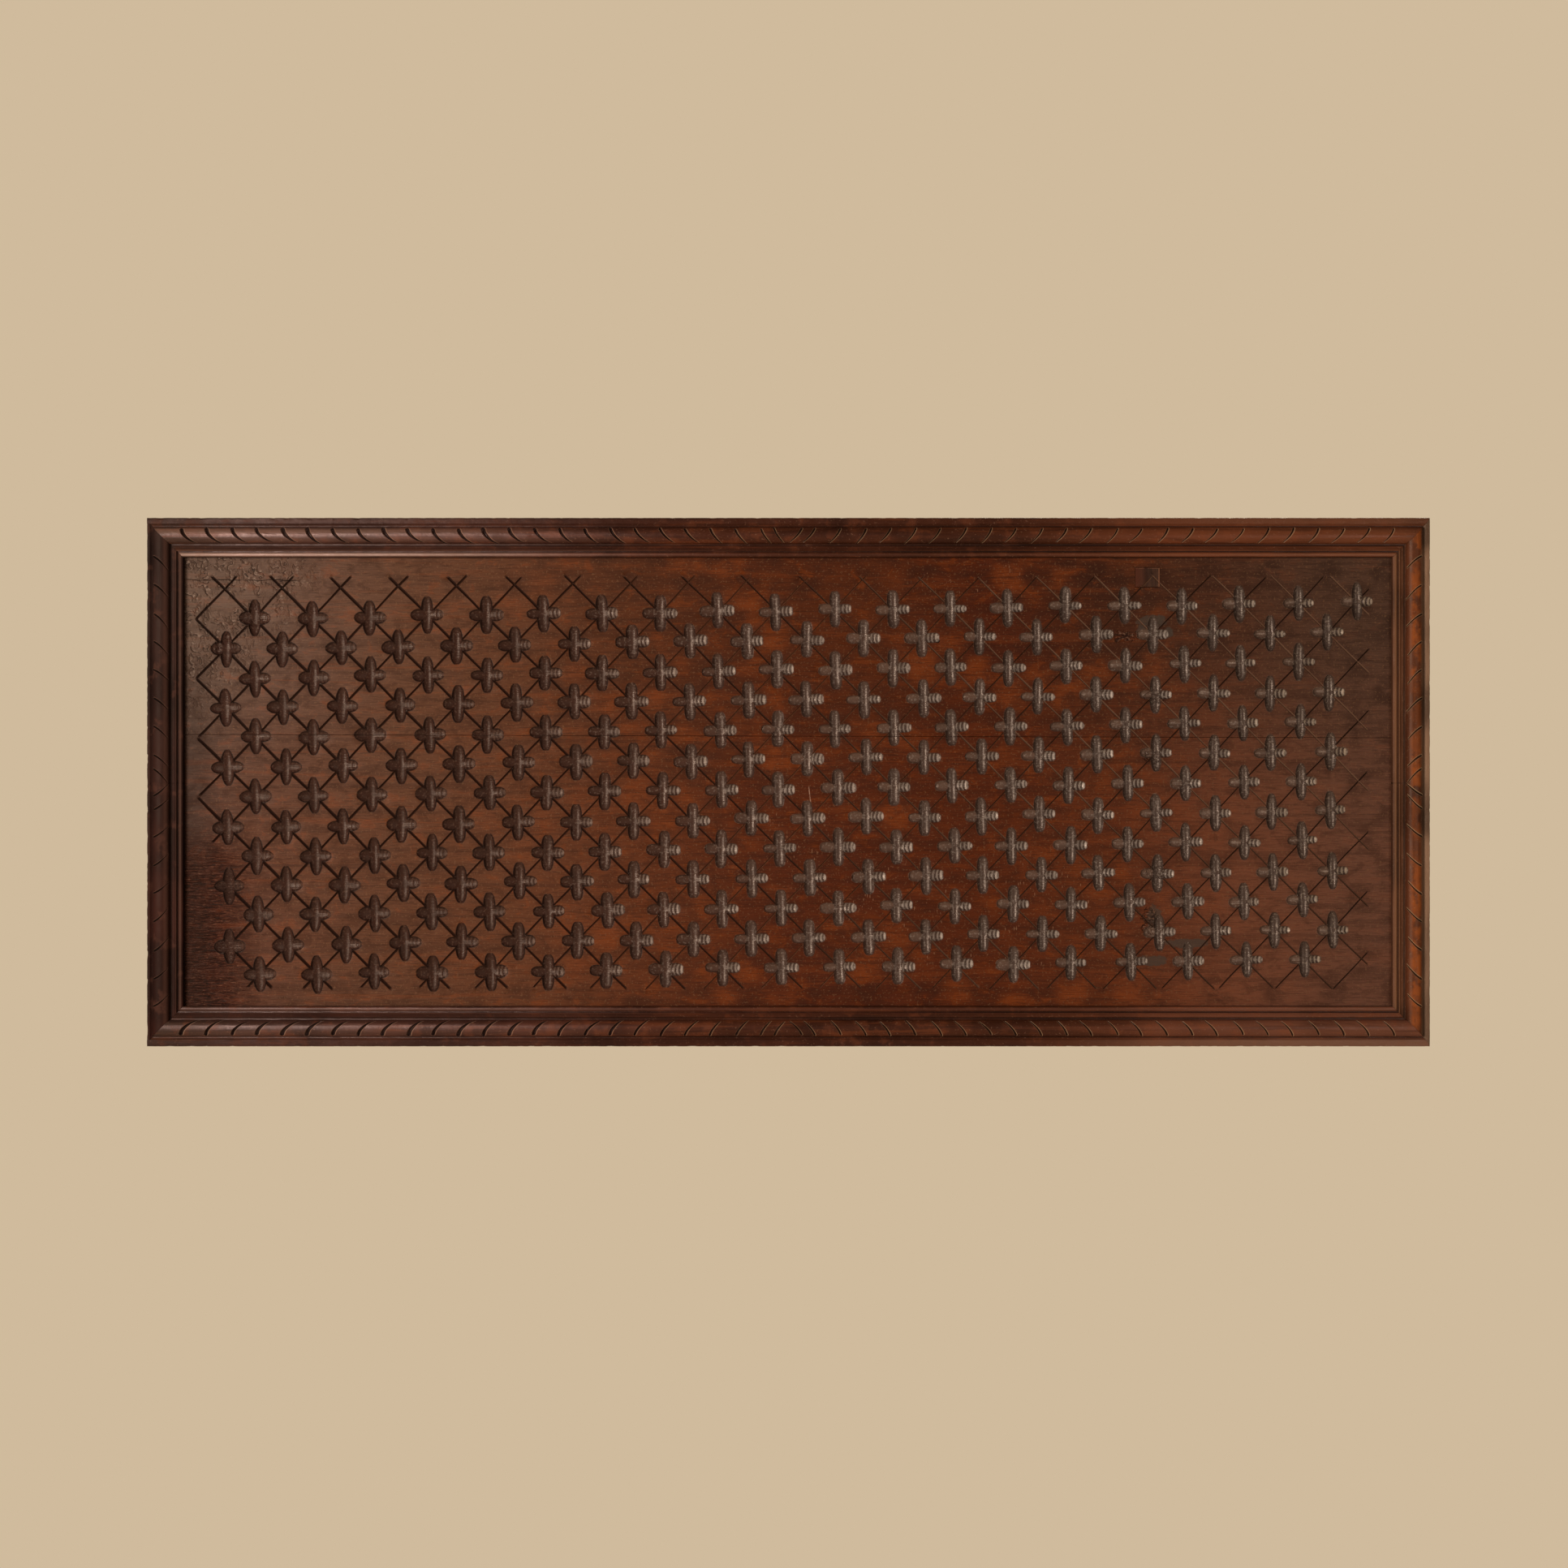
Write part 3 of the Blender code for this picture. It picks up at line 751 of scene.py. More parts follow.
def field(fronts, back, patch_front):
    """Both boards and the patch let into the upper one."""
    lines = [Line(family, number) for family in (1, -1)
             for number in range(-MOST_STEPS, MOST_STEPS + 1, 2)]
    lines = [line for line in lines if line.low != line.high]
    every_cross = crosses()

    def slab(name, outline, bottom, eased, **pocket):
        box = np.min(outline, axis=0), np.max(outline, axis=0)
        held = []
        if not bottom:
            held = [cross for cross in every_cross
                    if box[0][1] - FURTHEST_REACH < cross.centre[1] < box[1][1] + FURTHEST_REACH]
        cloud = Points()
        for cross in held:
            canoe_points(cross, cloud)
            petal_points(cross, 1, cloud)
            petal_points(cross, -1, cloud)
        add_lines(cloud, lines, box, held)
        for start, end in eased:
            add_eased_edge(cloud, start, end)
        cloud.add(ground_points(box, held, lines))
        return carved_slab(name, outline, bottom, cloud,
                           lambda plan: front_height(plan, held, lines, eased), **pocket)

    gap = np.array([0, HALF_GAP])
    left, right = OPENING_LEFT - BOARD_LAP, OPENING_RIGHT + BOARD_LAP
    bottom, top = OPENING_BOTTOM - BOARD_LAP, OPENING_TOP + BOARD_LAP
    joint_left = np.array([left, JOINT_LEFT_Z])
    joint_right = np.array([right, JOINT_RIGHT_Z])
    upper = [joint_left + gap, joint_right + gap, np.array([right, top]), np.array([left, top])]
    lower = [joint_right - gap, joint_left - gap, np.array([left, bottom]),
             np.array([right, bottom])]
    low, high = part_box("square_patch")
    patch = [np.array(corner) for corner in (
        (low.x, low.z), (high.x, low.z), (high.x, high.z), (low.x, high.z))]
    middle = sum(patch) / 4
    pocket = [corner + np.sign(corner - middle) * FITTING_GAP for corner in patch]
    patch_back = BOARD_THICKNESS - PATCH_DEPTH

    plain, crazed, repaired = fronts
    board_finish = (plain, back, crazed, repaired)
    show("carved_board_upper", slab("carved_board_upper", upper, 0.0,
                                    [(upper[0], upper[1])] + sides(pocket),
                                    hole=pocket, hole_bottom=patch_back - FITTING_GAP),
         "field_board_upper", board_finish)
    show("carved_board_lower", slab("carved_board_lower", lower, 0.0, [(lower[0], lower[1])]),
         "field_board_lower", board_finish)
    show("let_in_patch", slab("let_in_patch", patch, patch_back, sides(patch)),
         "square_patch", (patch_front, back, patch_front, patch_front))


def moulding_rows():
    """Front of the moulding from its outer line inwards, as (across, height over the boards)."""
    quirk = COVE_WIDTH + BEAD_WIDTH
    fillet = quirk + QUIRK_WIDTH
    groove = fillet + FILLET_WIDTH
    small = groove + GROOVE_WIDTH
    rows = [(0.0, LIP_PROUD)]
    for k in range(1, 5):
        f = k / 4
        rows.append((COVE_WIDTH * 0.9 * f,
                     LIP_PROUD + (COVE_PROUD - 0.0006 - LIP_PROUD) * math.sin(f * math.pi / 2)))
    for k in range(25):
        angle = math.pi * k / 24
        foot = COVE_PROUD + (QUIRK_PROUD - COVE_PROUD) * k / 24
        rows.append((COVE_WIDTH + BEAD_WIDTH / 2 * (1 - math.cos(angle)),
                     foot + (BEAD_PROUD - foot) * math.sin(angle) ** 0.92))
    rows += [(quirk + 0.0008, QUIRK_PROUD - 0.0003), (fillet - 0.0008, QUIRK_PROUD - 0.0001),
             (fillet - 0.0002, FILLET_OUTER_PROUD - 0.0004)]
    for k in range(6):
        f = k / 5
        rows.append((fillet + 0.0003 + (FILLET_WIDTH - 0.0008) * f,
                     FILLET_OUTER_PROUD + (FILLET_INNER_PROUD - FILLET_OUTER_PROUD) * f ** 1.8))
    rows += [(groove, FILLET_INNER_PROUD - 0.0005), (groove + 0.0004, GROOVE_PROUD + 0.0002),
             (small - 0.0005, GROOVE_PROUD - 0.0002)]
    for k in range(11):
        angle = math.pi * k / 10
        rows.append((small + SMALL_BEAD_WIDTH / 2 * (1 - math.cos(angle)),
                     INNER_EDGE_PROUD + (SMALL_BEAD_PROUD - INNER_EDGE_PROUD) * math.sin(angle)))
    return rows


def lip_rows(lip):
    """Outer side and face of the lip, from the back round to the moulding's outer line."""
    rows = [(-lip, height) for height in (-BOARD_THICKNESS, -0.012, -0.004, 0.003)]
    for k in range(5):
        angle = math.pi / 2 * k / 4
        rows.append((-lip + LIP_EASE * (1 - math.cos(angle)),
                     LIP_PROUD - LIP_EASE * (1 - math.sin(angle))))
    for across in (-lip + LIP_EASE + (lip - LIP_EASE) * 0.4,
                   -lip + LIP_EASE + (lip - LIP_EASE) * 0.7, -0.0004, 0.0):
        rows.append((across, LIP_PROUD))
    return rows


def cut_places(low, high, pitch, number):
    """Places of the gouge cuts along a rail and the way each one sweeps."""
    places = []
    for way in (1, -1):
        reach = (high - low) / 2 - CUT_END_MARGIN
        if number in LONG_RAILS:
            reach += EXTRA_CUT_REACH
        distance = CUT_MIDDLE_GAP / 2
        step = 0
        while distance < reach:
            uneven = CUT_WANDER * hand(step, way, number)
            places.append(((low + high) / 2 + way * (distance + uneven), -way))
            distance += CUT_PAIR_GAP if step == 0 else pitch
            step += 1
    return sorted(places)


def cut_shape(across, number, index, along):
    """Sweep, half width and depth of a gouge cut at the rows of the moulding."""
    low = COVE_WIDTH + 0.0020 + 0.0010 * hand(index, number, 31)
    high = COVE_WIDTH + BEAD_WIDTH - 0.0012 - 0.0010 * hand(index, number, 32)
    f = np.clip((across - low) / (high - low), 0, 1)
    inside = (across > low) & (across < high)
    sweep, wide, deep = RIGHT_CUT if number == RIGHT_RAIL else LEFT_CUT
    slant = 1.0
    if number in LONG_RAILS:
        sweep, wide, deep = (float(np.interp(along, CUT_PLACES, values)) for values in (
            CUT_SWEEP, CUT_HALF_WIDTH, CUT_DEPTH))
        slant = float(np.interp(along, CUT_PLACES, CUT_SLANT))
    hooked = 0.25 * f ** 2 + 0.75 * (1 - np.sqrt(1 - 0.995 * f ** 2))
    slanting = 0.35 * f + 0.65 * f ** 2
    swing = 1 + 0.15 * hand(index, number, 33)
    bend = sweep * swing * (hooked + (slanting - hooked) * slant)
    open_end = np.clip(f / 0.08, 0, 1) ** 0.5
    half = wide * (1 + 0.15 * hand(index, number, 34)) * open_end
    half = half * (1 - 0.30 * smooth(0.6, 1.0, f)) + 0.0002
    depth = deep * open_end * (1 - 0.45 * f) * np.clip((1 - f) / 0.05, 0, 1)
    return bend, np.where(inside, half, 0.0009), np.where(inside, depth, 0.0)


def rail(name, number, node, lip, place, low, high, lip_slopes, materials, butt=None):
    """One rail of the frame, lofted along its length over its whole section."""
    tongue = MOULDING_WIDTH - BOARD_LAP - FITTING_GAP
    moulding = moulding_rows() + [(MOULDING_WIDTH, FITTING_GAP), (tongue, FITTING_GAP),
                                  (tongue, -BOARD_THICKNESS), (0.0, -BOARD_THICKNESS)]
    section = np.array(moulding + [(0.0, -BOARD_THICKNESS)] + lip_rows(lip))
    across, proud = section.T
    split = len(moulding)
    rows = len(section)
    in_lip = np.arange(rows) >= split
    still = np.zeros(rows)
    keys = []

    def end(start, side, slope):
        """Mitred line that closes the rail: side is 1 at its low end and -1 at its high end."""
        line = start + (np.where(across > 0, across, 0) * side + MITRE_GAP * side)
        out = np.where(across < 0, -across, 0)
        return np.where(in_lip, start - side * out * slope + HALF_GAP * side, line)

    def key(curve, depth=still, cut_highlight=still):
        keys.append((curve, depth, cut_highlight))

    def blend_to(curve):
        start = keys[-1][0]
        count = max(1, int(round((curve[0] - start[0]) / RAIL_STEP)))
        for k in range(1, count):
            key(start + (curve - start) * k / count)
        key(curve)

    first = end(low, 1, lip_slopes[0])
    if butt is not None:
        key(np.where(in_lip, butt, first))
        first = np.where(in_lip, low, first)
    key(first)
    pitch = CUT_PITCH_LONG if number in LONG_RAILS else CUT_PITCH_SHORT
    places = cut_places(low + COVE_WIDTH + BEAD_WIDTH, high - COVE_WIDTH - BEAD_WIDTH,
                        pitch, number)
    for index, (along, way) in enumerate(places):
        bend, half, depth = cut_shape(across, number, index, along)
        middle = along + way * np.where(in_lip, 0, bend)
        blend_to(middle - half - CUT_RIM)
        for side in CUT_SIDES:
            key(middle + side * half, depth * (1 - abs(side) ** CUT_ROUND),
                (depth > 0) * CUT_LIT.get(side, 0.0))
        key(middle + half + CUT_RIM)
    blend_to(end(high, -1, lip_slopes[1]))

    along, sunk, cut_highlight = (np.array(part) for part in zip(*keys))
    width = np.broadcast_to(across, along.shape)
    uneven = RAIL_UNEVEN * (drift(along, width, 0.09, number + UNEVEN_SEED) - 0.6)
    uneven = uneven + RAIL_RIPPLE * drift(along, 8 * across, 0.021, number + RIPPLE_SEED)
    height = proud - sunk + uneven * (proud > 0.001)
    # The outer arris of the lip is worn back in places, most of all on the left
    arris = in_lip & (proud > 0.0035) & (across < -lip + 0.0014)
    worn = np.clip(drift(along, 3 * across, 0.017, number + WEAR_SEED)
                   + 0.7 * drift(along, across, 0.006, number + CHIP_SEED), 0, 1)
    worn = worn * arris * (LEFT_WEAR if number == LEFT_RAIL else OTHER_WEAR)
    x, z = place(along, across + worn * (across < 0))
    y = -(BOARD_THICKNESS + height - worn)
    verts = np.stack([x, y, z], axis=-1).reshape(-1, 3)
    count = len(keys)

    def at(column, row):
        return column * rows + row

    strips = [row for row in range(rows - 1) if row != split - 1]
    faces = [(at(column, row), at(column + 1, row), at(column + 1, row + 1), at(column, row + 1))
             for column in range(count - 1) for row in strips]
    hidden = [across[row] >= 0 and max(proud[row], proud[row + 1]) <= FITTING_GAP
              for row in strips]
    for column, order in ((0, 1), (count - 1, -1)):
        faces.append([at(column, row) for row in range(split)][::order])
        faces.append([at(column, row) for row in range(split, rows)][::order])
    if butt is not None:
        faces.append((at(0, rows - 1), at(1, rows - 1), at(1, split), at(0, split)))

    mesh = bpy.data.meshes.new(name)
    mesh.from_pydata(verts.tolist(), [], faces)
    add_shares(mesh, {"groove": np.clip(sunk / FULL_GROOVE, 0, 1), "cut_highlight": cut_highlight,
                      "across": width})
    slot = np.zeros(len(faces), dtype=np.int32)
    slot[:(count - 1) * len(strips)] = hidden * (count - 1)
    mesh.polygons.foreach_set("material_index", slot)
    body = bmesh.new()
    body.from_mesh(mesh)
    bmesh.ops.remove_doubles(body, verts=body.verts, dist=2e-6)
    bmesh.ops.dissolve_degenerate(body, edges=body.edges, dist=1e-6)
    bmesh.ops.recalc_face_normals(body, faces=body.faces)
    body.to_mesh(mesh)
    body.free()
    mesh.shade_smooth()
    mesh.set_sharp_from_angle(angle=RAIL_CREASE)
    show(name, mesh, node, materials)


def frame_rails(front_long, front_left, front_right, back, upright_back):
    """The four rails; the lips of the long ones run on to the panel's left edge."""
    lip_top = PANEL_HIGH.z - TOP
    lip_bottom = BOTTOM - PANEL_LOW.z
    lip_left = LEFT - PANEL_LOW.x
    lip_right = PANEL_HIGH.x - RIGHT
    rail("moulding_top", TOP_RAIL, "rail_top", lip_top,
         lambda along, across: (along, TOP - across), LEFT, RIGHT,
         (0, lip_right / lip_top), (front_long, back), butt=PANEL_LOW.x)
    rail("moulding_bottom", BOTTOM_RAIL, "rail_bottom", lip_bottom,
         lambda along, across: (along, BOTTOM + across), LEFT, RIGHT,
         (0, lip_right / lip_bottom), (front_long, back), butt=PANEL_LOW.x)
    rail("moulding_left", LEFT_RAIL, "rail_left", lip_left,
         lambda along, across: (LEFT + across, along), BOTTOM, TOP,
         (0, 0), (front_left, upright_back))
    rail("moulding_right", RIGHT_RAIL, "rail_right", lip_right,
         lambda along, across: (RIGHT - across, along), BOTTOM, TOP,
         (lip_bottom / lip_right, lip_top / lip_right), (front_right, upright_back))


def linear(red, green, blue):
    """Linear colour of a display colour from 0 to 255."""
    shown = [value / 255 for value in (red, green, blue)]
    return tuple(v / 12.92 if v <= 0.04045 else ((v + 0.055) / 1.055) ** 2.4 for v in shown)


# Tones are given as they look in the light of the scene and lifted to the wood's own colour
STAIN_LIFT = 1.22


def stain(red, green, blue):
    """Colour of the wood that looks like this display colour in the scene."""
    return tuple(min(1.0, STAIN_LIFT * value) for value in linear(red, green, blue))


class Value:
    """One output of a material's nodes, to reckon with."""

    def __init__(self, finish, socket):
        self.finish = finish
        self.socket = socket

    def __add__(self, other):
        return self.finish.math("ADD", self, other)

    def __sub__(self, other):
        return self.finish.math("SUBTRACT", self, other)

    def __mul__(self, other):
        return self.finish.math("MULTIPLY", self, other)

    def __truediv__(self, other):
        return self.finish.math("DIVIDE", self, other)


class Finish:
    """A material and short ways to add its nodes."""

    def __init__(self, name):
        self.material = bpy.data.materials.new(name)
        self.material.use_nodes = True
        self.tree = self.material.node_tree
        self.shader = self.tree.nodes["Principled BSDF"]

    def feed(self, value, socket):
        if isinstance(value, Value):
            self.tree.links.new(value.socket, socket)
        elif socket.type == "RGBA":
            socket.default_value = (*value, 1.0)
        else:
            socket.default_value = value

    def node(self, kind, output, inputs, **settings):
        """Adds a node, feeds its inputs and gives one of its outputs."""
        made = self.tree.nodes.new("ShaderNode" + kind)
        for key, value in settings.items():
            setattr(made, key, value)
        for key, value in inputs.items():
            self.feed(value, made.inputs[key])
        return Value(self, made.outputs[output])

    def place(self):
        return self.node("TexCoord", "Object", {})

    def axes(self):
        split = self.node("SeparateXYZ", 0, {0: self.place()}).socket.node
        return [Value(self, output) for output in split.outputs]

    def share(self, name):
        return self.node("Attribute", "Fac", {}, attribute_type="GEOMETRY", attribute_name=name)

    def scaled(self, vector, scale, offset=(0, 0, 0)):
        return self.node("Mapping", "Vector",
                         {"Vector": vector, "Scale": scale, "Location": offset})

    def noise(self, vector, scale, detail, rough=0.55, twist=0.0, flat=False):
        return self.node("TexNoise", "Fac", {
            "Vector": vector, "Scale": scale, "Detail": detail, "Roughness": rough,
            "Distortion": twist}, noise_dimensions="2D" if flat else "3D")

    def math(self, operation, first, second=0.0):
        return self.node("Math", 0, {0: first, 1: second}, operation=operation)

    def span(self, value, low, high, to_low=0.0, to_high=1.0):
        """Climbs smoothly from to_low to to_high while the value goes from low to high."""
        return self.node("MapRange", "Result", {
            "Value": value, "From Min": low, "From Max": high, "To Min": to_low,
            "To Max": to_high}, interpolation_type="SMOOTHSTEP")

    def fall(self, value, low, high):
        return self.span(value, low, high, 1.0, 0.0)

    def between(self, value, low, high, fade):
        """1 where low < value < high, with soft ends."""
        return (self.span(value, low - fade, low + fade)
                * self.fall(value, high - fade, high + fade))

    def ramp(self, value, stops):
        made = self.node("ValToRGB", "Color", {"Fac": value})
        ramp = made.socket.node.color_ramp
        while len(ramp.elements) < len(stops):
            ramp.elements.new(1.0)
        for element, (place, colour) in zip(ramp.elements, stops):
            element.position = place
            element.color = (*colour, 1.0)
        return made

    def levels(self, value, *stops):
        return self.ramp(value, [(place, (level,) * 3) for place, level in stops])

    def tones(self, x, *stops):
        """Stain along the panel, from stops of x, red, green and blue."""
        return self.ramp(x * 0.5 + 0.5, [((at + 1) / 2, stain(*tone)) for at, *tone in stops])

    def mix(self, share, first, second):
        return self.node("Mix", 2, {0: share, 6: first, 7: second}, data_type="RGBA")

    def coat(self, colour, *layers):
        """Lays tones over a colour one after the other, each with a share and its strength."""
        for share, strength, tone in layers:
            colour = self.mix(share * strength, colour, tone)
        return colour

    def bump(self, height, distance):
        return self.node("Bump", "Normal", {"Height": height, "Distance": distance})

    def near_point(self, x, z, place, size, ragged=None):
        """1 inside an ellipse about a place, with a ragged edge."""
        dx = (x - place[0]) / size[0]
        dz = (z - place[1]) / size[1]
        away = dx * dx + dz * dz
        if ragged is not None:
            away = away + ragged
        return self.fall(away, 0.55, 1.15)

    def any_of(self, shares):
        found, *others = shares
        for share in others:
            found = self.math("MAXIMUM", found, share)
        return found

    def finish(self, colour, roughness, normal, shine=0.5, tint=(1.0, 0.78, 0.64)):
        self.feed(colour, self.shader.inputs["Base Color"])
        self.shader.inputs["Specular Tint"].default_value = (*tint, 1.0)
        self.feed(roughness, self.shader.inputs["Roughness"])
        if normal is not None:
            self.feed(normal, self.shader.inputs["Normal"])
        self.feed(shine, self.shader.inputs["Specular IOR Level"])
        return self.material


def lattice_swell(f, x, z):
    """+1 at the crosses and -1 in the middle of the lozenges between them."""
    shift_x, shift_z = LATTICE_SHIFT.tolist()
    cosine, sine = math.cos(LATTICE_TURN), math.sin(LATTICE_TURN)
    turned_x = (x - shift_x) * cosine + (z - shift_z) * sine
    turned_z = (z - shift_z) * cosine - (x - shift_x) * sine
    return (f.math("COSINE", turned_x * (math.pi / HALF_ACROSS))
            * f.math("COSINE", turned_z * (math.pi / HALF_DOWN)))


# Fills beside the old repairs and spots where the wood has split, as places and half sizes
GREY_SPOTS = [((0.5685, 0.2515), (0.024, 0.0100)), ((0.5560, 0.2360), (0.012, 0.012)),
              ((0.5940, 0.2340), (0.008, 0.010)), ((0.6220, -0.2520), (0.036, 0.008)),
              ((0.5700, -0.2790), (0.025, 0.009)), ((0.5720, -0.2120), (0.012, 0.022))]
SPLIT_SPOTS = [((0.5740, 0.1340), (0.018, 0.009)), ((0.5720, 0.0400), (0.016, 0.009)),
               ((0.5760, -0.1410), (0.017, 0.010)), ((0.5640, -0.2150), (0.012, 0.020)),
               ((0.5240, 0.2275), (0.022, 0.009))]
# Places where the pale scratches gather
SCORED_SPOTS = [((0.290, 0.325), (0.10, 0.036)), ((0.012, -0.085), (0.06, 0.11)),
                ((0.300, -0.200), (0.30, 0.10))]


def field_wood(name, crazed_end=False, repaired=False):
    """Stained and varnished field, dusty in its hollows, rubbed and scratched in places, with
    painted sheen, highlights and shade.
    """
    f = Finish(name)
    x, _, z = f.axes()
    plan = f.node("CombineXYZ", 0, {0: x, 1: z})

    def texture(scale, detail, rough, stretch=(1, 1), twist=0.0):
        return f.noise(f.scaled(plan, (*stretch, 1)), scale, detail, rough, twist, flat=True)

    streak = texture(1.0, 4, 0.62, (2.5, 55), 0.7)
    fine = texture(1.0, 1, 0.6, (40, 700))
    broad = texture(6.5, 2, 0.5, (1, 1.5))
    mottle = texture(30.0, 3, 0.62, (1, 1.7), 0.4)
    speck = texture(260.0, 1, 0.7)
    # Ground tones above and below the joint: the wood's own colour, with a painted grey sheen
    # towards the upper left and painted light lifting the lower right
    upper = f.tones(x, (-0.93, 90, 69, 58), (-0.80, 92, 65, 53), (-0.60, 91, 57, 39),
                    (-0.42, 88, 50, 30), (-0.24, 82, 41, 20), (-0.06, 78, 34, 13),
                    (0.13, 80, 35, 13), (0.32, 73, 28, 10), (0.52, 68, 34, 19),
                    (0.70, 76, 45, 31), (0.86, 78, 52, 39))
    lower = f.tones(x, (-0.94, 64, 36, 27), (-0.84, 88, 51, 35), (-0.62, 90, 53, 34),
                    (-0.42, 92, 51, 30), (-0.24, 92, 45, 22), (-0.06, 80, 33, 13),
                    (0.13, 80, 32, 12), (0.32, 83, 34, 12), (0.52, 92, 43, 21),
                    (0.70, 108, 61, 41), (0.88, 100, 62, 46))
    ground = f.mix(f.span(z, -0.12, 0.27), lower, upper)
    dark = f.mix(0.66, ground, stain(32, 14, 9))
    warm = f.mix(f.span(x, 0.45, 0.75, 0.80, 0.30), ground, stain(126, 58, 20))
    glow = f.between(x, -0.35, 0.62, 0.25) * f.span(broad, 0.50, 0.66)
    swell = lattice_swell(f, x, z)
    halo = f.span(swell, -0.35, 0.70) * f.span(mottle, 0.30, 0.58)
    colour = f.coat(ground, (glow, f.span(swell, -0.8, 0.4, 0.65, 0.2), warm),
                    (halo, f.span(x, -0.5, 0.0, 0.35, 0.62), dark),
                    (f.span(mottle, 0.52, 0.68), 0.42, dark),
                    (f.fall(mottle, 0.30, 0.42), 0.35, warm),
                    (f.span(streak, 0.50, 0.62), 0.42, dark),
                    (f.fall(streak, 0.32, 0.43), 0.25, warm),
                    (f.span(fine, 0.55, 0.68), 0.50, dark),
                    (f.span(speck, 0.62, 0.74), 0.35, stain(116, 82, 56)))
    height = streak * 0.6 + fine * 0.35

    if crazed_end:
        # Crazed varnish in the upper left corner, in scales that run down the face, under a grey
        # veil that is partly painted sheen; the pale scales carry painted glints
        wavy = texture(30.0, 2, 0.6)
        beat = x * 96.0 + z * 40.0 + texture(40.0, 2, 0.5) * 4.6 + texture(190.0, 0, 0.6) * 0.7
        scales = f.math("FRACT", beat)
        corner = f.span(z - x * 0.9, 0.86, 1.04) * f.fall(x, -0.80, -0.70)
        broken = f.span(texture(75.0, 2, 0.6), 0.40, 0.52)
        crazed = corner * f.span(wavy, 0.36, 0.50) * broken
        flake_and_glint = crazed * f.between(scales, 0.22, 0.42, 0.08)
        colour = f.coat(colour, (corner, 0.30, stain(104, 82, 70)),
                        (flake_and_glint, f.span(speck, 0.40, 0.60, 0.05, 0.42), stain(158, 134, 118)),
                        (f.fall(scales, 0.05, 0.22) * crazed, 0.85, stain(28, 18, 13)))
        height = height + crazed * (scales * -1.6) + corner * (wavy * 1.6)

        # Coarse, dark red wood in the lower left corner, and shade along the upper left edge
        coarse = f.fall(x, -0.91, -0.79) * f.fall(z, -0.15, -0.05)
        ridges = texture(1.0, 3, 0.7, (46, 430), 1.2)
        deep = f.span(ridges, 0.48, 0.56) * f.span(mottle, 0.36, 0.52, 0.25, 0.95)
        raised = f.fall(ridges, 0.36, 0.43) * f.span(speck, 0.45, 0.60)
        shaded = f.fall(x, -0.932, -0.880) * f.fall(z, 0.12, 0.26)
        colour = f.coat(colour, (coarse, 0.55, stain(70, 30, 21)),
                        (coarse, deep, stain(26, 11, 8)),
                        (coarse, raised * 0.6, stain(124, 82, 62)),
                        (shaded, 0.45, stain(46, 29, 22)))
        height = height - coarse * (ridges * 1.8)

        # Long scratch across the upper left corner
        across = f.math("ABSOLUTE", z + wavy * 0.0050 - 0.3185)
        scratch = f.fall(across, 0.0002, 0.0010) * f.between(x, -0.944, -0.765, 0.012)
        colour = f.coat(colour, (scratch, f.span(mottle, 0.35, 0.55, 0.3, 0.85),
                                 stain(36, 24, 18)))
        height = height - scratch
    elif repaired:
        ragged = texture(90.0, 3, 0.7) - 0.5
        torn = texture(1.0, 2, 0.7, (60, 260))
        grey = f.any_of(f.near_point(x, z, *spot, ragged * 2.2) for spot in GREY_SPOTS)
        split = f.any_of(f.near_point(x, z, *spot, ragged * 3.5) for spot in SPLIT_SPOTS)
        colour = f.coat(colour, (grey, 0.80, stain(66, 55, 47)),
                        (split, f.span(torn, 0.42, 0.58, 0.0, 0.85), stain(28, 14, 10)),
                        (split, f.span(speck, 0.54, 0.66, 0.0, 0.6), stain(118, 84, 66)))
        height = height - split * (torn * 2.4)
    else:
        # Pale scratches, a longer one near the middle, and one small knot hole
        ticks = f.node("TexVoronoi", "Distance", {
            "Vector": f.scaled(plan, (260, 46, 1), (0.3, 0.0, 0.0)), "Scale": 1.0},
            feature="F1", voronoi_dimensions="2D")
        scored = f.fall(ticks, 0.08, 0.20) * f.span(texture(85.0, 2, 0.7), 0.54, 0.62)
        where = f.any_of(f.near_point(x, z, *spot) for spot in SCORED_SPOTS)
        where = f.math("MAXIMUM", where * 0.75, 0.12) * f.span(mottle, 0.46, 0.58)
        upright = f.math("ABSOLUTE", x - z * -0.12 - 0.0308)
        score = f.fall(upright, 0.0003, 0.0011) * f.between(z, -0.034, -0.008, 0.004)
        hole = f.near_point(x, z, (0.2334, 0.2210), (0.0034, 0.0034))
        colour = f.coat(colour, (scored, where, stain(140, 98, 72)),
                        (score, f.span(speck, 0.35, 0.55, 0.4, 1.0), stain(150, 112, 92)),
                        (hole, 1.0, stain(20, 10, 7)))
        height = height - hole * 2.0
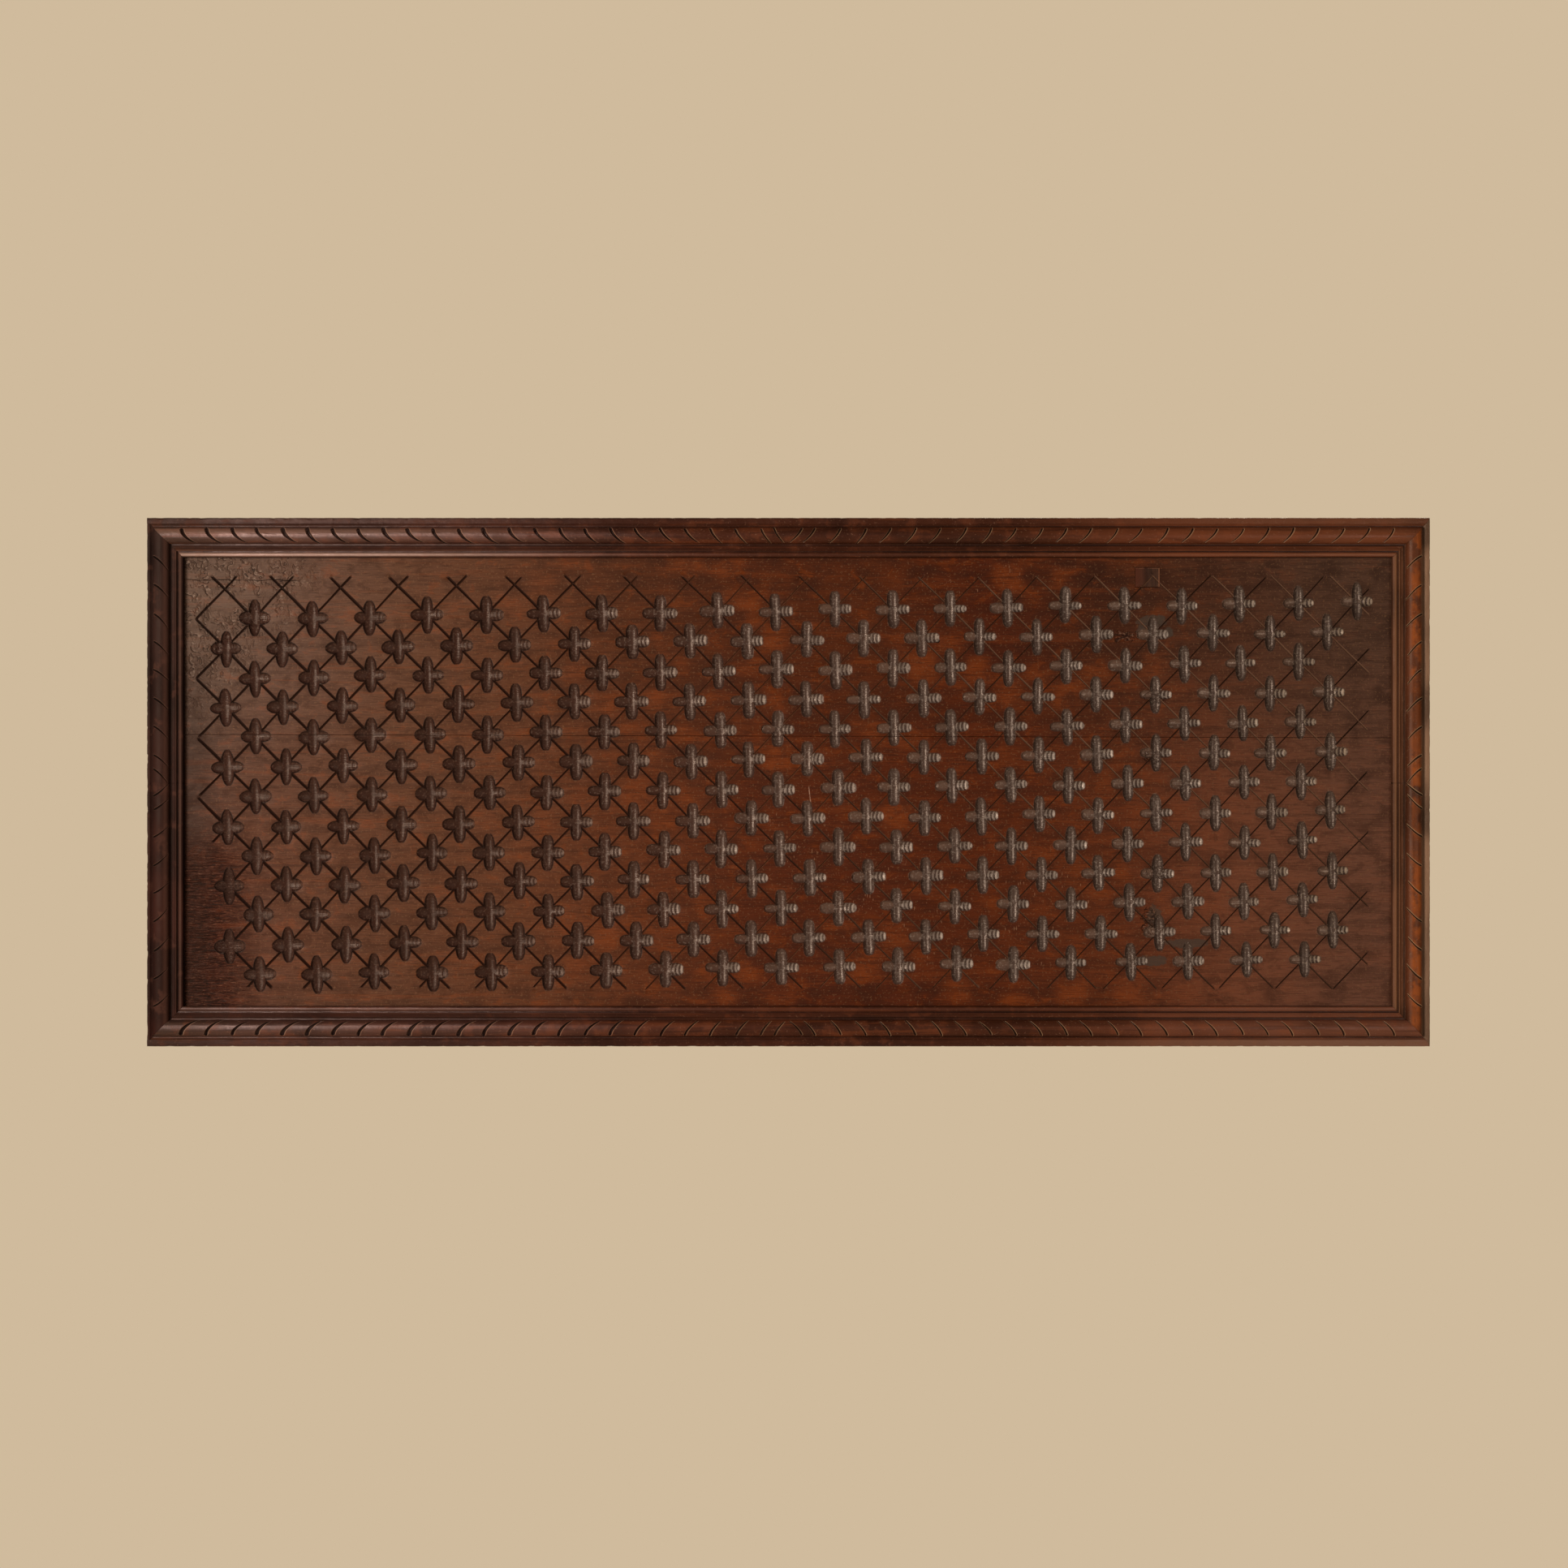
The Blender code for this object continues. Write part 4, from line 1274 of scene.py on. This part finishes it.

    # Dust and tool marks in the hollows, with painted highlights on the ripple crests and tips
    # of the right arms and painted shade between the ripples
    hollow = f.share("hollow")
    finger = f.share("finger")
    dust = f.tones(x, (-0.90, 58, 36, 29), (-0.50, 55, 34, 27), (-0.20, 67, 45, 37),
                   (0.0, 75, 56, 48), (0.5, 71, 56, 49), (0.90, 66, 51, 44))
    worn = f.tones(x, (-0.90, 104, 74, 60), (-0.45, 112, 84, 70), (-0.1, 156, 137, 124),
                   (0.6, 170, 153, 140), (0.90, 162, 140, 118))
    # Left arms: darker on the left, and lighter on the right as painted light on their shaded
    # floors
    petal = f.mix(f.span(x, -0.5, 0.0, 0.40, 0.0), dust, stain(36, 20, 16))
    petal = f.mix(f.span(x, -0.6, 0.1, 0.0, 0.16), petal, ground)
    petal = f.mix(f.span(x, -0.25, 0.15, 0.0, 0.50), petal, stain(108, 82, 68))
    tone = f.mix(f.share("petal"), dust, petal)
    # Painted shade in the valleys between the ripples, and the worn tone as painted highlight on
    # their crests and on the tips of the right arms
    valley_shade = f.mix(0.35, dust, stain(30, 18, 13))
    ribbed_light_and_shade = f.mix(f.span(finger, 0.30, 0.95), valley_shade, worn)
    ribbed_light_and_shade = f.mix(f.span(x, -0.60, -0.15, 0.35, 0.95), dust, ribbed_light_and_shade)
    tone = f.mix(f.span(finger, 0.02, 0.12), tone, ribbed_light_and_shade)
    tone = f.coat(tone, (f.span(mottle, 0.46, 0.62), 0.45, f.mix(0.65, tone, stain(38, 22, 16))),
                  (f.span(speck, 0.56, 0.72), 0.28, worn))
    # Painted shade on the walls and rims of the hollows, strongest on the left
    outline = f.tones(x, (-0.90, 20, 10, 8), (-0.30, 24, 12, 9), (0.0, 46, 26, 18),
                      (0.5, 52, 34, 25), (0.90, 40, 25, 18))
    rim = f.share("rim")
    rim = f.mix(f.span(x, -0.40, 0.15), f.span(rim, 0.20, 0.95), f.span(rim, 0.45, 0.95))

    # Lines of the lattice, tinted apart for falling and rising cuts as painted light and shade
    # on their walls; and eased edges
    falling = f.tones(x, (-0.90, 24, 12, 9), (-0.35, 32, 16, 11), (0.0, 50, 29, 20),
                      (0.35, 98, 70, 54), (0.90, 104, 75, 58))
    low_right = f.span(z, -0.18, 0.02, 0.75, 0.0) * f.span(x, 0.2, 0.5)
    falling = f.mix(low_right, falling, stain(46, 28, 20))
    climbing = f.tones(x, (-0.90, 28, 15, 10), (-0.35, 38, 20, 13), (0.0, 84, 50, 33),
                       (0.35, 60, 36, 25), (0.90, 36, 21, 15))
    line_light_and_shade = f.mix(f.share("rising"), falling, climbing)
    colour = f.coat(colour, (hollow, 0.95, tone),
                    (rim, f.span(x, -0.40, 0.15, 0.88, 0.66), outline),
                    (f.share("groove"), 0.92, line_light_and_shade),
                    (f.share("edge"), 0.45, stain(26, 13, 8)))
    normal = f.bump(height + hollow * (mottle * 0.7), 0.0009)
    roughness = f.span(mottle, 0.3, 0.7, 0.42, 0.58) - hollow * 0.17
    glare = hollow * f.span(x, -0.45, 0.10, 0.03, 0.38)
    return f.finish(colour, roughness, normal, glare + 0.16)


class RailFinish(Finish):
    """Finish of a rail, with the grain, mottling, and dirt and painted shade that the rails
    share.
    """

    def __init__(self, name, stretch):
        super().__init__(name)
        place = self.place()
        self.grain = self.noise(self.scaled(place, stretch), 1.0, 3, 0.62, 0.6)
        self.mottle = self.noise(place, 34.0, 3, 0.62)
        self.broad = self.noise(place, 9.0, 1, 0.55)
        self.speck = self.noise(place, 300.0, 1, 0.7)
        self.across = self.share("across")
        self.relief = self.bump(self.grain + self.mottle * 1.2, 0.0006)

    def dirt_and_shade(self, colour, deep, crest_highlight, dirt_and_shade_strength=0.50):
        """Darkens the quirks and inner edge of the moulding with dirt and painted shade, and
        lightens its crests with painted highlights and rubbing.
        """
        place = self.across / MOULDING_WIDTH
        bead = (COVE_WIDTH + BEAD_WIDTH) / MOULDING_WIDTH
        fillet = (COVE_WIDTH + BEAD_WIDTH + QUIRK_WIDTH) / MOULDING_WIDTH
        groove = fillet + FILLET_WIDTH / MOULDING_WIDTH
        small = groove + GROOVE_WIDTH / MOULDING_WIDTH
        # Dirt and painted shade in the cove, the quirk, the groove and along the inner edge
        dirt_and_shade = self.levels(place, (0.05, 0), (0.085, 1), (0.115, 0), (bead - 0.01, 0),
                           (bead + 0.02, 1), (fillet - 0.03, 1), (fillet, 0),
                           (groove - 0.005, 0), (groove + 0.01, 1), (small - 0.005, 1),
                           (small + 0.015, 0), (0.98, 0), (1.0, 1))
        # Painted highlight, with some rubbing, on the inner edge of the fillet and the crown of
        # the small bead
        rubbed_and_highlit = self.levels(place, (groove - 0.03, 0), (groove - 0.008, 1),
                             (groove + 0.004, 0), (small + 0.02, 0), (small + 0.07, 1),
                             (small + 0.12, 0))
        return self.coat(colour, (dirt_and_shade, dirt_and_shade_strength, deep), (rubbed_and_highlit, 0.55, crest_highlight))


def long_frame_wood():
    """Top and bottom rails: brown and dusty on the left, red-brown to the right."""
    f = RailFinish("frame_wood_long", (4, 80, 80))
    x, _, z = f.axes()
    across, grain, mottle = f.across, f.grain, f.mottle
    above = f.span(z, -0.1, 0.1)
    below = f.fall(z, -0.1, 0.1)
    base = f.tones(x, (-0.98, 60, 42, 34), (-0.80, 76, 47, 38), (-0.45, 78, 43, 32),
                   (-0.10, 68, 34, 21), (0.35, 67, 34, 20), (0.60, 104, 55, 33),
                   (0.98, 106, 60, 38))
    base = f.coat(base, (below, f.span(x, 0.40, 0.75, 0.0, 0.50), stain(116, 74, 58)))
    dark = f.mix(0.6, base, stain(24, 12, 9))
    warm = f.mix(0.6, base, stain(126, 64, 34))
    # Tones of the painted highlights on the crests, with some rubbing, dimmed low on the left
    crest_highlight = f.tones(x, (-0.95, 132, 98, 82), (-0.4, 134, 92, 76), (0.0, 78, 44, 31),
                    (0.4, 104, 62, 44), (0.9, 144, 94, 68))
    crest_highlight = f.coat(crest_highlight, (below, f.span(x, -0.86, -0.55, 0.90, 0.55), stain(62, 35, 32)))
    # Lip, quirk and fillet darker on the left: the lip's own darker brown, and painted shade on
    # the quirk and fillet
    flat = f.math("MAXIMUM", f.fall(across, 0.000, 0.006),
                  f.between(across, 0.0325, 0.0425, 0.0012))
    flat = flat * f.span(x, -0.35, 0.05, 1.0, 0.25)
    right_lip = f.fall(across, -0.001, 0.002) * f.span(x, 0.35, 0.75, 0.0, 0.6)
    top_left = above * f.fall(x, -0.70, -0.25)
    # Painted highlights on the upper side of the bead and on the small bead of the top rail at
    # the left
    upper_side_highlight = top_left * f.between(across, 0.0085, 0.0165, 0.0030)
    small_bead_highlight = top_left * f.between(across, 0.0456, 0.0508, 0.0010)
    # Painted shade on the fillet of the bottom rail at the left
    inner = below * f.fall(x, -0.75, -0.35) * f.between(across, 0.0358, 0.0412, 0.0008)
    blotched = f.mix(f.span(x, 0.2, 0.6, 0.0, 0.6), dark, base)
    plain = f.coat(f.mix(f.span(f.broad, 0.30, 0.54), blotched, base),
                   (f.span(mottle, 0.50, 0.66), 0.45, warm),
                   (f.span(grain, 0.50, 0.62), 0.60, dark),
                   (f.fall(grain, 0.34, 0.43), 0.45, warm),
                   (f.span(f.speck, 0.64, 0.74), 0.30, stain(140, 100, 78)),
                   (flat, 0.50, stain(44, 26, 20)),
                   (right_lip, f.math("MAXIMUM", below, 0.3), stain(122, 88, 68)),
                   (upper_side_highlight, 0.45, stain(132, 98, 82)))
    # Painted shade inside the gouge cuts and painted highlight along their lit edge
    cut = f.tones(x, (-0.95, 20, 11, 8), (-0.30, 22, 11, 8), (-0.05, 34, 19, 13),
                  (0.9, 34, 20, 14))
    cut_highlight = f.tones(x, (-0.95, 150, 114, 94), (-0.30, 150, 106, 84), (-0.05, 140, 108, 80),
                    (0.9, 176, 138, 104))
    colour = f.dirt_and_shade(plain, stain(22, 12, 8), crest_highlight, f.span(x, 0.0, 0.5, 0.50, 0.85))
    colour = f.coat(colour, (small_bead_highlight, 0.55, stain(164, 132, 116)),
                    (inner, 0.70, f.mix(0.5, plain, stain(46, 24, 21))),
                    (f.share("groove"), 0.95, cut),
                    (f.share("cut_highlight"), f.span(mottle, 0.3, 0.55, 0.45, 0.95), cut_highlight))
    shine = f.fall(x, -0.50, -0.15) * f.span(x, -0.95, -0.84, 0.25, 1.0)
    shine = shine * f.span(z, -0.1, 0.1, 0.50, 0.80) + 0.24
    shine = shine * f.span(flat, 0.0, 1.0, 1.0, 0.25) * f.span(inner, 0.0, 1.0, 1.0, 0.30)
    return f.finish(colour, f.span(mottle, 0.3, 0.7, 0.30, 0.46), f.relief, shine,
                    tint=(1.0, 0.70, 0.66))


def left_frame_wood():
    """Left rail: dark and dull."""
    f = RailFinish("frame_wood_left", (80, 80, 4))
    z = f.axes()[2]
    base = f.mix(f.span(z, -0.40, 0.40), stain(55, 27, 21), stain(50, 32, 27))
    dark = f.mix(0.6, base, stain(22, 13, 11))
    colour = f.coat(f.mix(f.span(f.broad, 0.38, 0.62), dark, base),
                    (f.span(f.grain, 0.48, 0.62), 0.5, dark),
                    (f.span(f.mottle, 0.54, 0.66), 0.35, stain(92, 56, 44)))
    colour = f.dirt_and_shade(colour, stain(24, 14, 11), stain(88, 60, 48))
    chipped = f.span(f.speck, 0.56, 0.62) * f.fall(f.across, -0.0060, -0.0035)
    # Painted shade inside the gouge cuts and painted highlight along their lit edge
    colour = f.coat(colour, (f.share("groove"), 0.9, stain(14, 9, 8)),
                    (f.share("cut_highlight"), 0.55, stain(104, 74, 60)),
                    (f.between(f.across, 0.0240, 0.0300, 0.0030), 0.35, stain(98, 64, 52)),
                    (chipped, f.span(z, 0.02, 0.24), stain(176, 150, 120)))
    return f.finish(colour, f.span(f.mottle, 0.3, 0.7, 0.52, 0.66), f.relief, 0.12)


def right_frame_wood():
    """Right rail: orange patches on the bead, grey-brown towards the outer edge, where painted
    light lifts the shade on the outer flank, cove and lip.
    """
    f = RailFinish("frame_wood_right", (70, 70, 5))
    # Painted light on the outer flank of the bead, the cove and the lip, which lie in shade
    base = f.mix(f.span(f.across, 0.003, 0.013), stain(140, 106, 82), stain(90, 48, 28))
    base = f.mix(f.span(f.across, 0.031, 0.034, 0.0, 0.50), base, stain(116, 78, 56))
    dark = f.mix(0.6, base, stain(28, 15, 10))
    warm = f.mix(0.85, base, stain(152, 76, 28))
    hot = f.between(f.across, 0.010, 0.026, 0.004) * f.span(f.mottle, 0.38, 0.58)
    patchy = f.noise(f.place(), 14.0, 2, 0.6)
    colour = f.coat(f.mix(f.span(f.broad, 0.36, 0.60), dark, base),
                    (hot, f.span(patchy, 0.40, 0.56, 0.35, 0.95), warm),
                    (f.span(f.grain, 0.48, 0.62), 0.45, dark),
                    (f.span(f.speck, 0.62, 0.74), 0.30, stain(140, 104, 80)))
    colour = f.dirt_and_shade(colour, stain(44, 25, 17), stain(140, 96, 64))
    # Painted shade inside the gouge cuts and painted highlight along their lit edge
    colour = f.coat(colour, (f.share("groove"), 0.9, stain(40, 26, 18)),
                    (f.share("cut_highlight"), 0.90, stain(176, 144, 110)))
    return f.finish(colour, f.span(f.mottle, 0.3, 0.7, 0.40, 0.54), f.relief, 0.22)


def patch_wood():
    """Greyer wood of the small repair, lighter along its right and top edges."""
    f = Finish("patch_wood_front")
    x, _, z = f.axes()
    grain = f.noise(f.scaled(f.place(), (110, 1, 16)), 1.0, 4, 0.6, 0.3)
    low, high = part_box("square_patch")
    bright = f.math("MAXIMUM", f.span(x, high.x - 0.0022, high.x - 0.0008),
                    f.span(z, high.z - 0.0018, high.z - 0.0006, 0.0, 0.5))
    colour = f.mix(f.span(grain, 0.35, 0.65), stain(42, 23, 16), stain(66, 40, 28))
    colour = f.mix(f.span(x, low.x, low.x + 0.024, 0.80, 0.0), colour, stain(78, 34, 18))
    colour = f.coat(colour, (f.share("groove"), 0.85, stain(96, 66, 48)),
                    (bright, f.span(grain, 0.35, 0.55), stain(128, 82, 58)))
    return f.finish(colour, f.span(grain, 0.3, 0.7, 0.45, 0.6), f.bump(grain, 0.0005), 0.3)


def back_wood(name, stretch):
    """Old wood left from the saw, for the backs and hidden sides."""
    f = Finish(name)
    place = f.place()
    grain = f.noise(f.scaled(place, stretch), 1.0, 6, 0.62, 0.5)
    blotch = f.noise(place, 4.0, 4, 0.6)
    saw = f.node("TexWave", "Fac", {"Vector": place, "Scale": 60.0, "Distortion": 2.0,
                                    "Detail": 2.0}, wave_type="BANDS", bands_direction="X")
    colour = f.mix(f.span(blotch, 0.3, 0.7), linear(92, 66, 46), linear(122, 92, 66))
    colour = f.mix(f.span(grain, 0.48, 0.70, 0, 0.6), colour, linear(62, 42, 30))
    return f.finish(colour, f.span(grain, 0.3, 0.7, 0.7, 0.85),
                    f.bump(grain + saw * 0.35, 0.0012))


back = back_wood("sawn_back", (2.5, 40, 55))
upright_back = back_wood("sawn_back_upright", (55, 40, 2.5))
fronts = (field_wood("field_wood_front"), field_wood("field_wood_crazed", crazed_end=True),
          field_wood("field_wood_repaired", repaired=True))
field(fronts, back, patch_wood())
frame_rails(long_frame_wood(), left_frame_wood(), right_frame_wood(), back, upright_back)

# Floor, well below the panel and clear of the camera's view
FLOOR_Z = -1.26
floor_finish = Finish("pale_floor")
floor_finish.finish(linear(214, 200, 178), 0.8, None, tint=(1.0, 1.0, 1.0))
bpy.ops.mesh.primitive_plane_add(size=1, location=(0, -3.0, FLOOR_Z))
floor = bpy.context.object
floor.name = "floor"
floor.scale = (9, 6, 1)
floor.data.materials.append(floor_finish.material)


def softbox(name, place, aim, width, height, power, colour):
    """Rectangular lamp at a place, turned to a point on the panel."""
    data = bpy.data.lights.new(name, "AREA")
    data.shape = "RECTANGLE"
    data.size = width
    data.size_y = height
    data.energy = power
    data.color = colour
    lamp = bpy.data.objects.new(name, data)
    lamp.location = place
    lamp.rotation_euler = (Vector(aim) - Vector(place)).to_track_quat("-Z", "Y").to_euler()
    bpy.context.collection.objects.link(lamp)


softbox("key", (-3.2, -4.1, 0.25), (0.2, 0, 0), 1.8, 1.8, 149, (1.0, 0.95, 0.88))
softbox("left", (-1.7, -3.0, 0.85), (-0.55, 0, 0.1), 1.0, 0.5, 20, (1.0, 0.88, 0.76))
softbox("right", (1.9, -2.6, -0.2), (1.0, 0, -0.1), 0.8, 0.6, 12, (1.0, 0.92, 0.82))
softbox("behind", (1.4, 3.0, 1.7), (0, 0, 0), 1.8, 1.2, 60, (1.0, 0.95, 0.88))

# The wall's colour as the camera sees it, and much dimmer as light on the panel
WALL = linear(208, 187, 157)
WALL_LIGHT = 0.05
world = bpy.data.worlds.new("room")
world.use_nodes = True
bpy.context.scene.world = world
tree = world.node_tree
background = tree.nodes["Background"]
background.inputs["Color"].default_value = (*WALL, 1.0)
path = tree.nodes.new("ShaderNodeLightPath")
level = tree.nodes.new("ShaderNodeMapRange")
tree.links.new(path.outputs["Is Camera Ray"], level.inputs["Value"])
level.inputs["To Min"].default_value = WALL_LIGHT
level.inputs["To Max"].default_value = 1.0
tree.links.new(level.outputs["Result"], background.inputs["Strength"])
bpy.context.scene.view_settings.view_transform = "Standard"

# Camera straight in front, with the photograph's framing
VIEW_WIDTH = 2.444
VIEW_X = -0.007
VIEW_Z = -0.0029
LENS = 50.0
SENSOR = 36.0
camera_data = bpy.data.cameras.new("camera")
camera_data.lens = LENS
camera_data.sensor_width = SENSOR
camera_data.sensor_fit = "HORIZONTAL"
camera = bpy.data.objects.new("camera", camera_data)
camera.location = (VIEW_X, -BOARD_THICKNESS - LIP_PROUD - VIEW_WIDTH * LENS / SENSOR, VIEW_Z)
camera.rotation_euler = (math.pi / 2, 0, 0)
bpy.context.collection.objects.link(camera)
bpy.context.scene.camera = camera
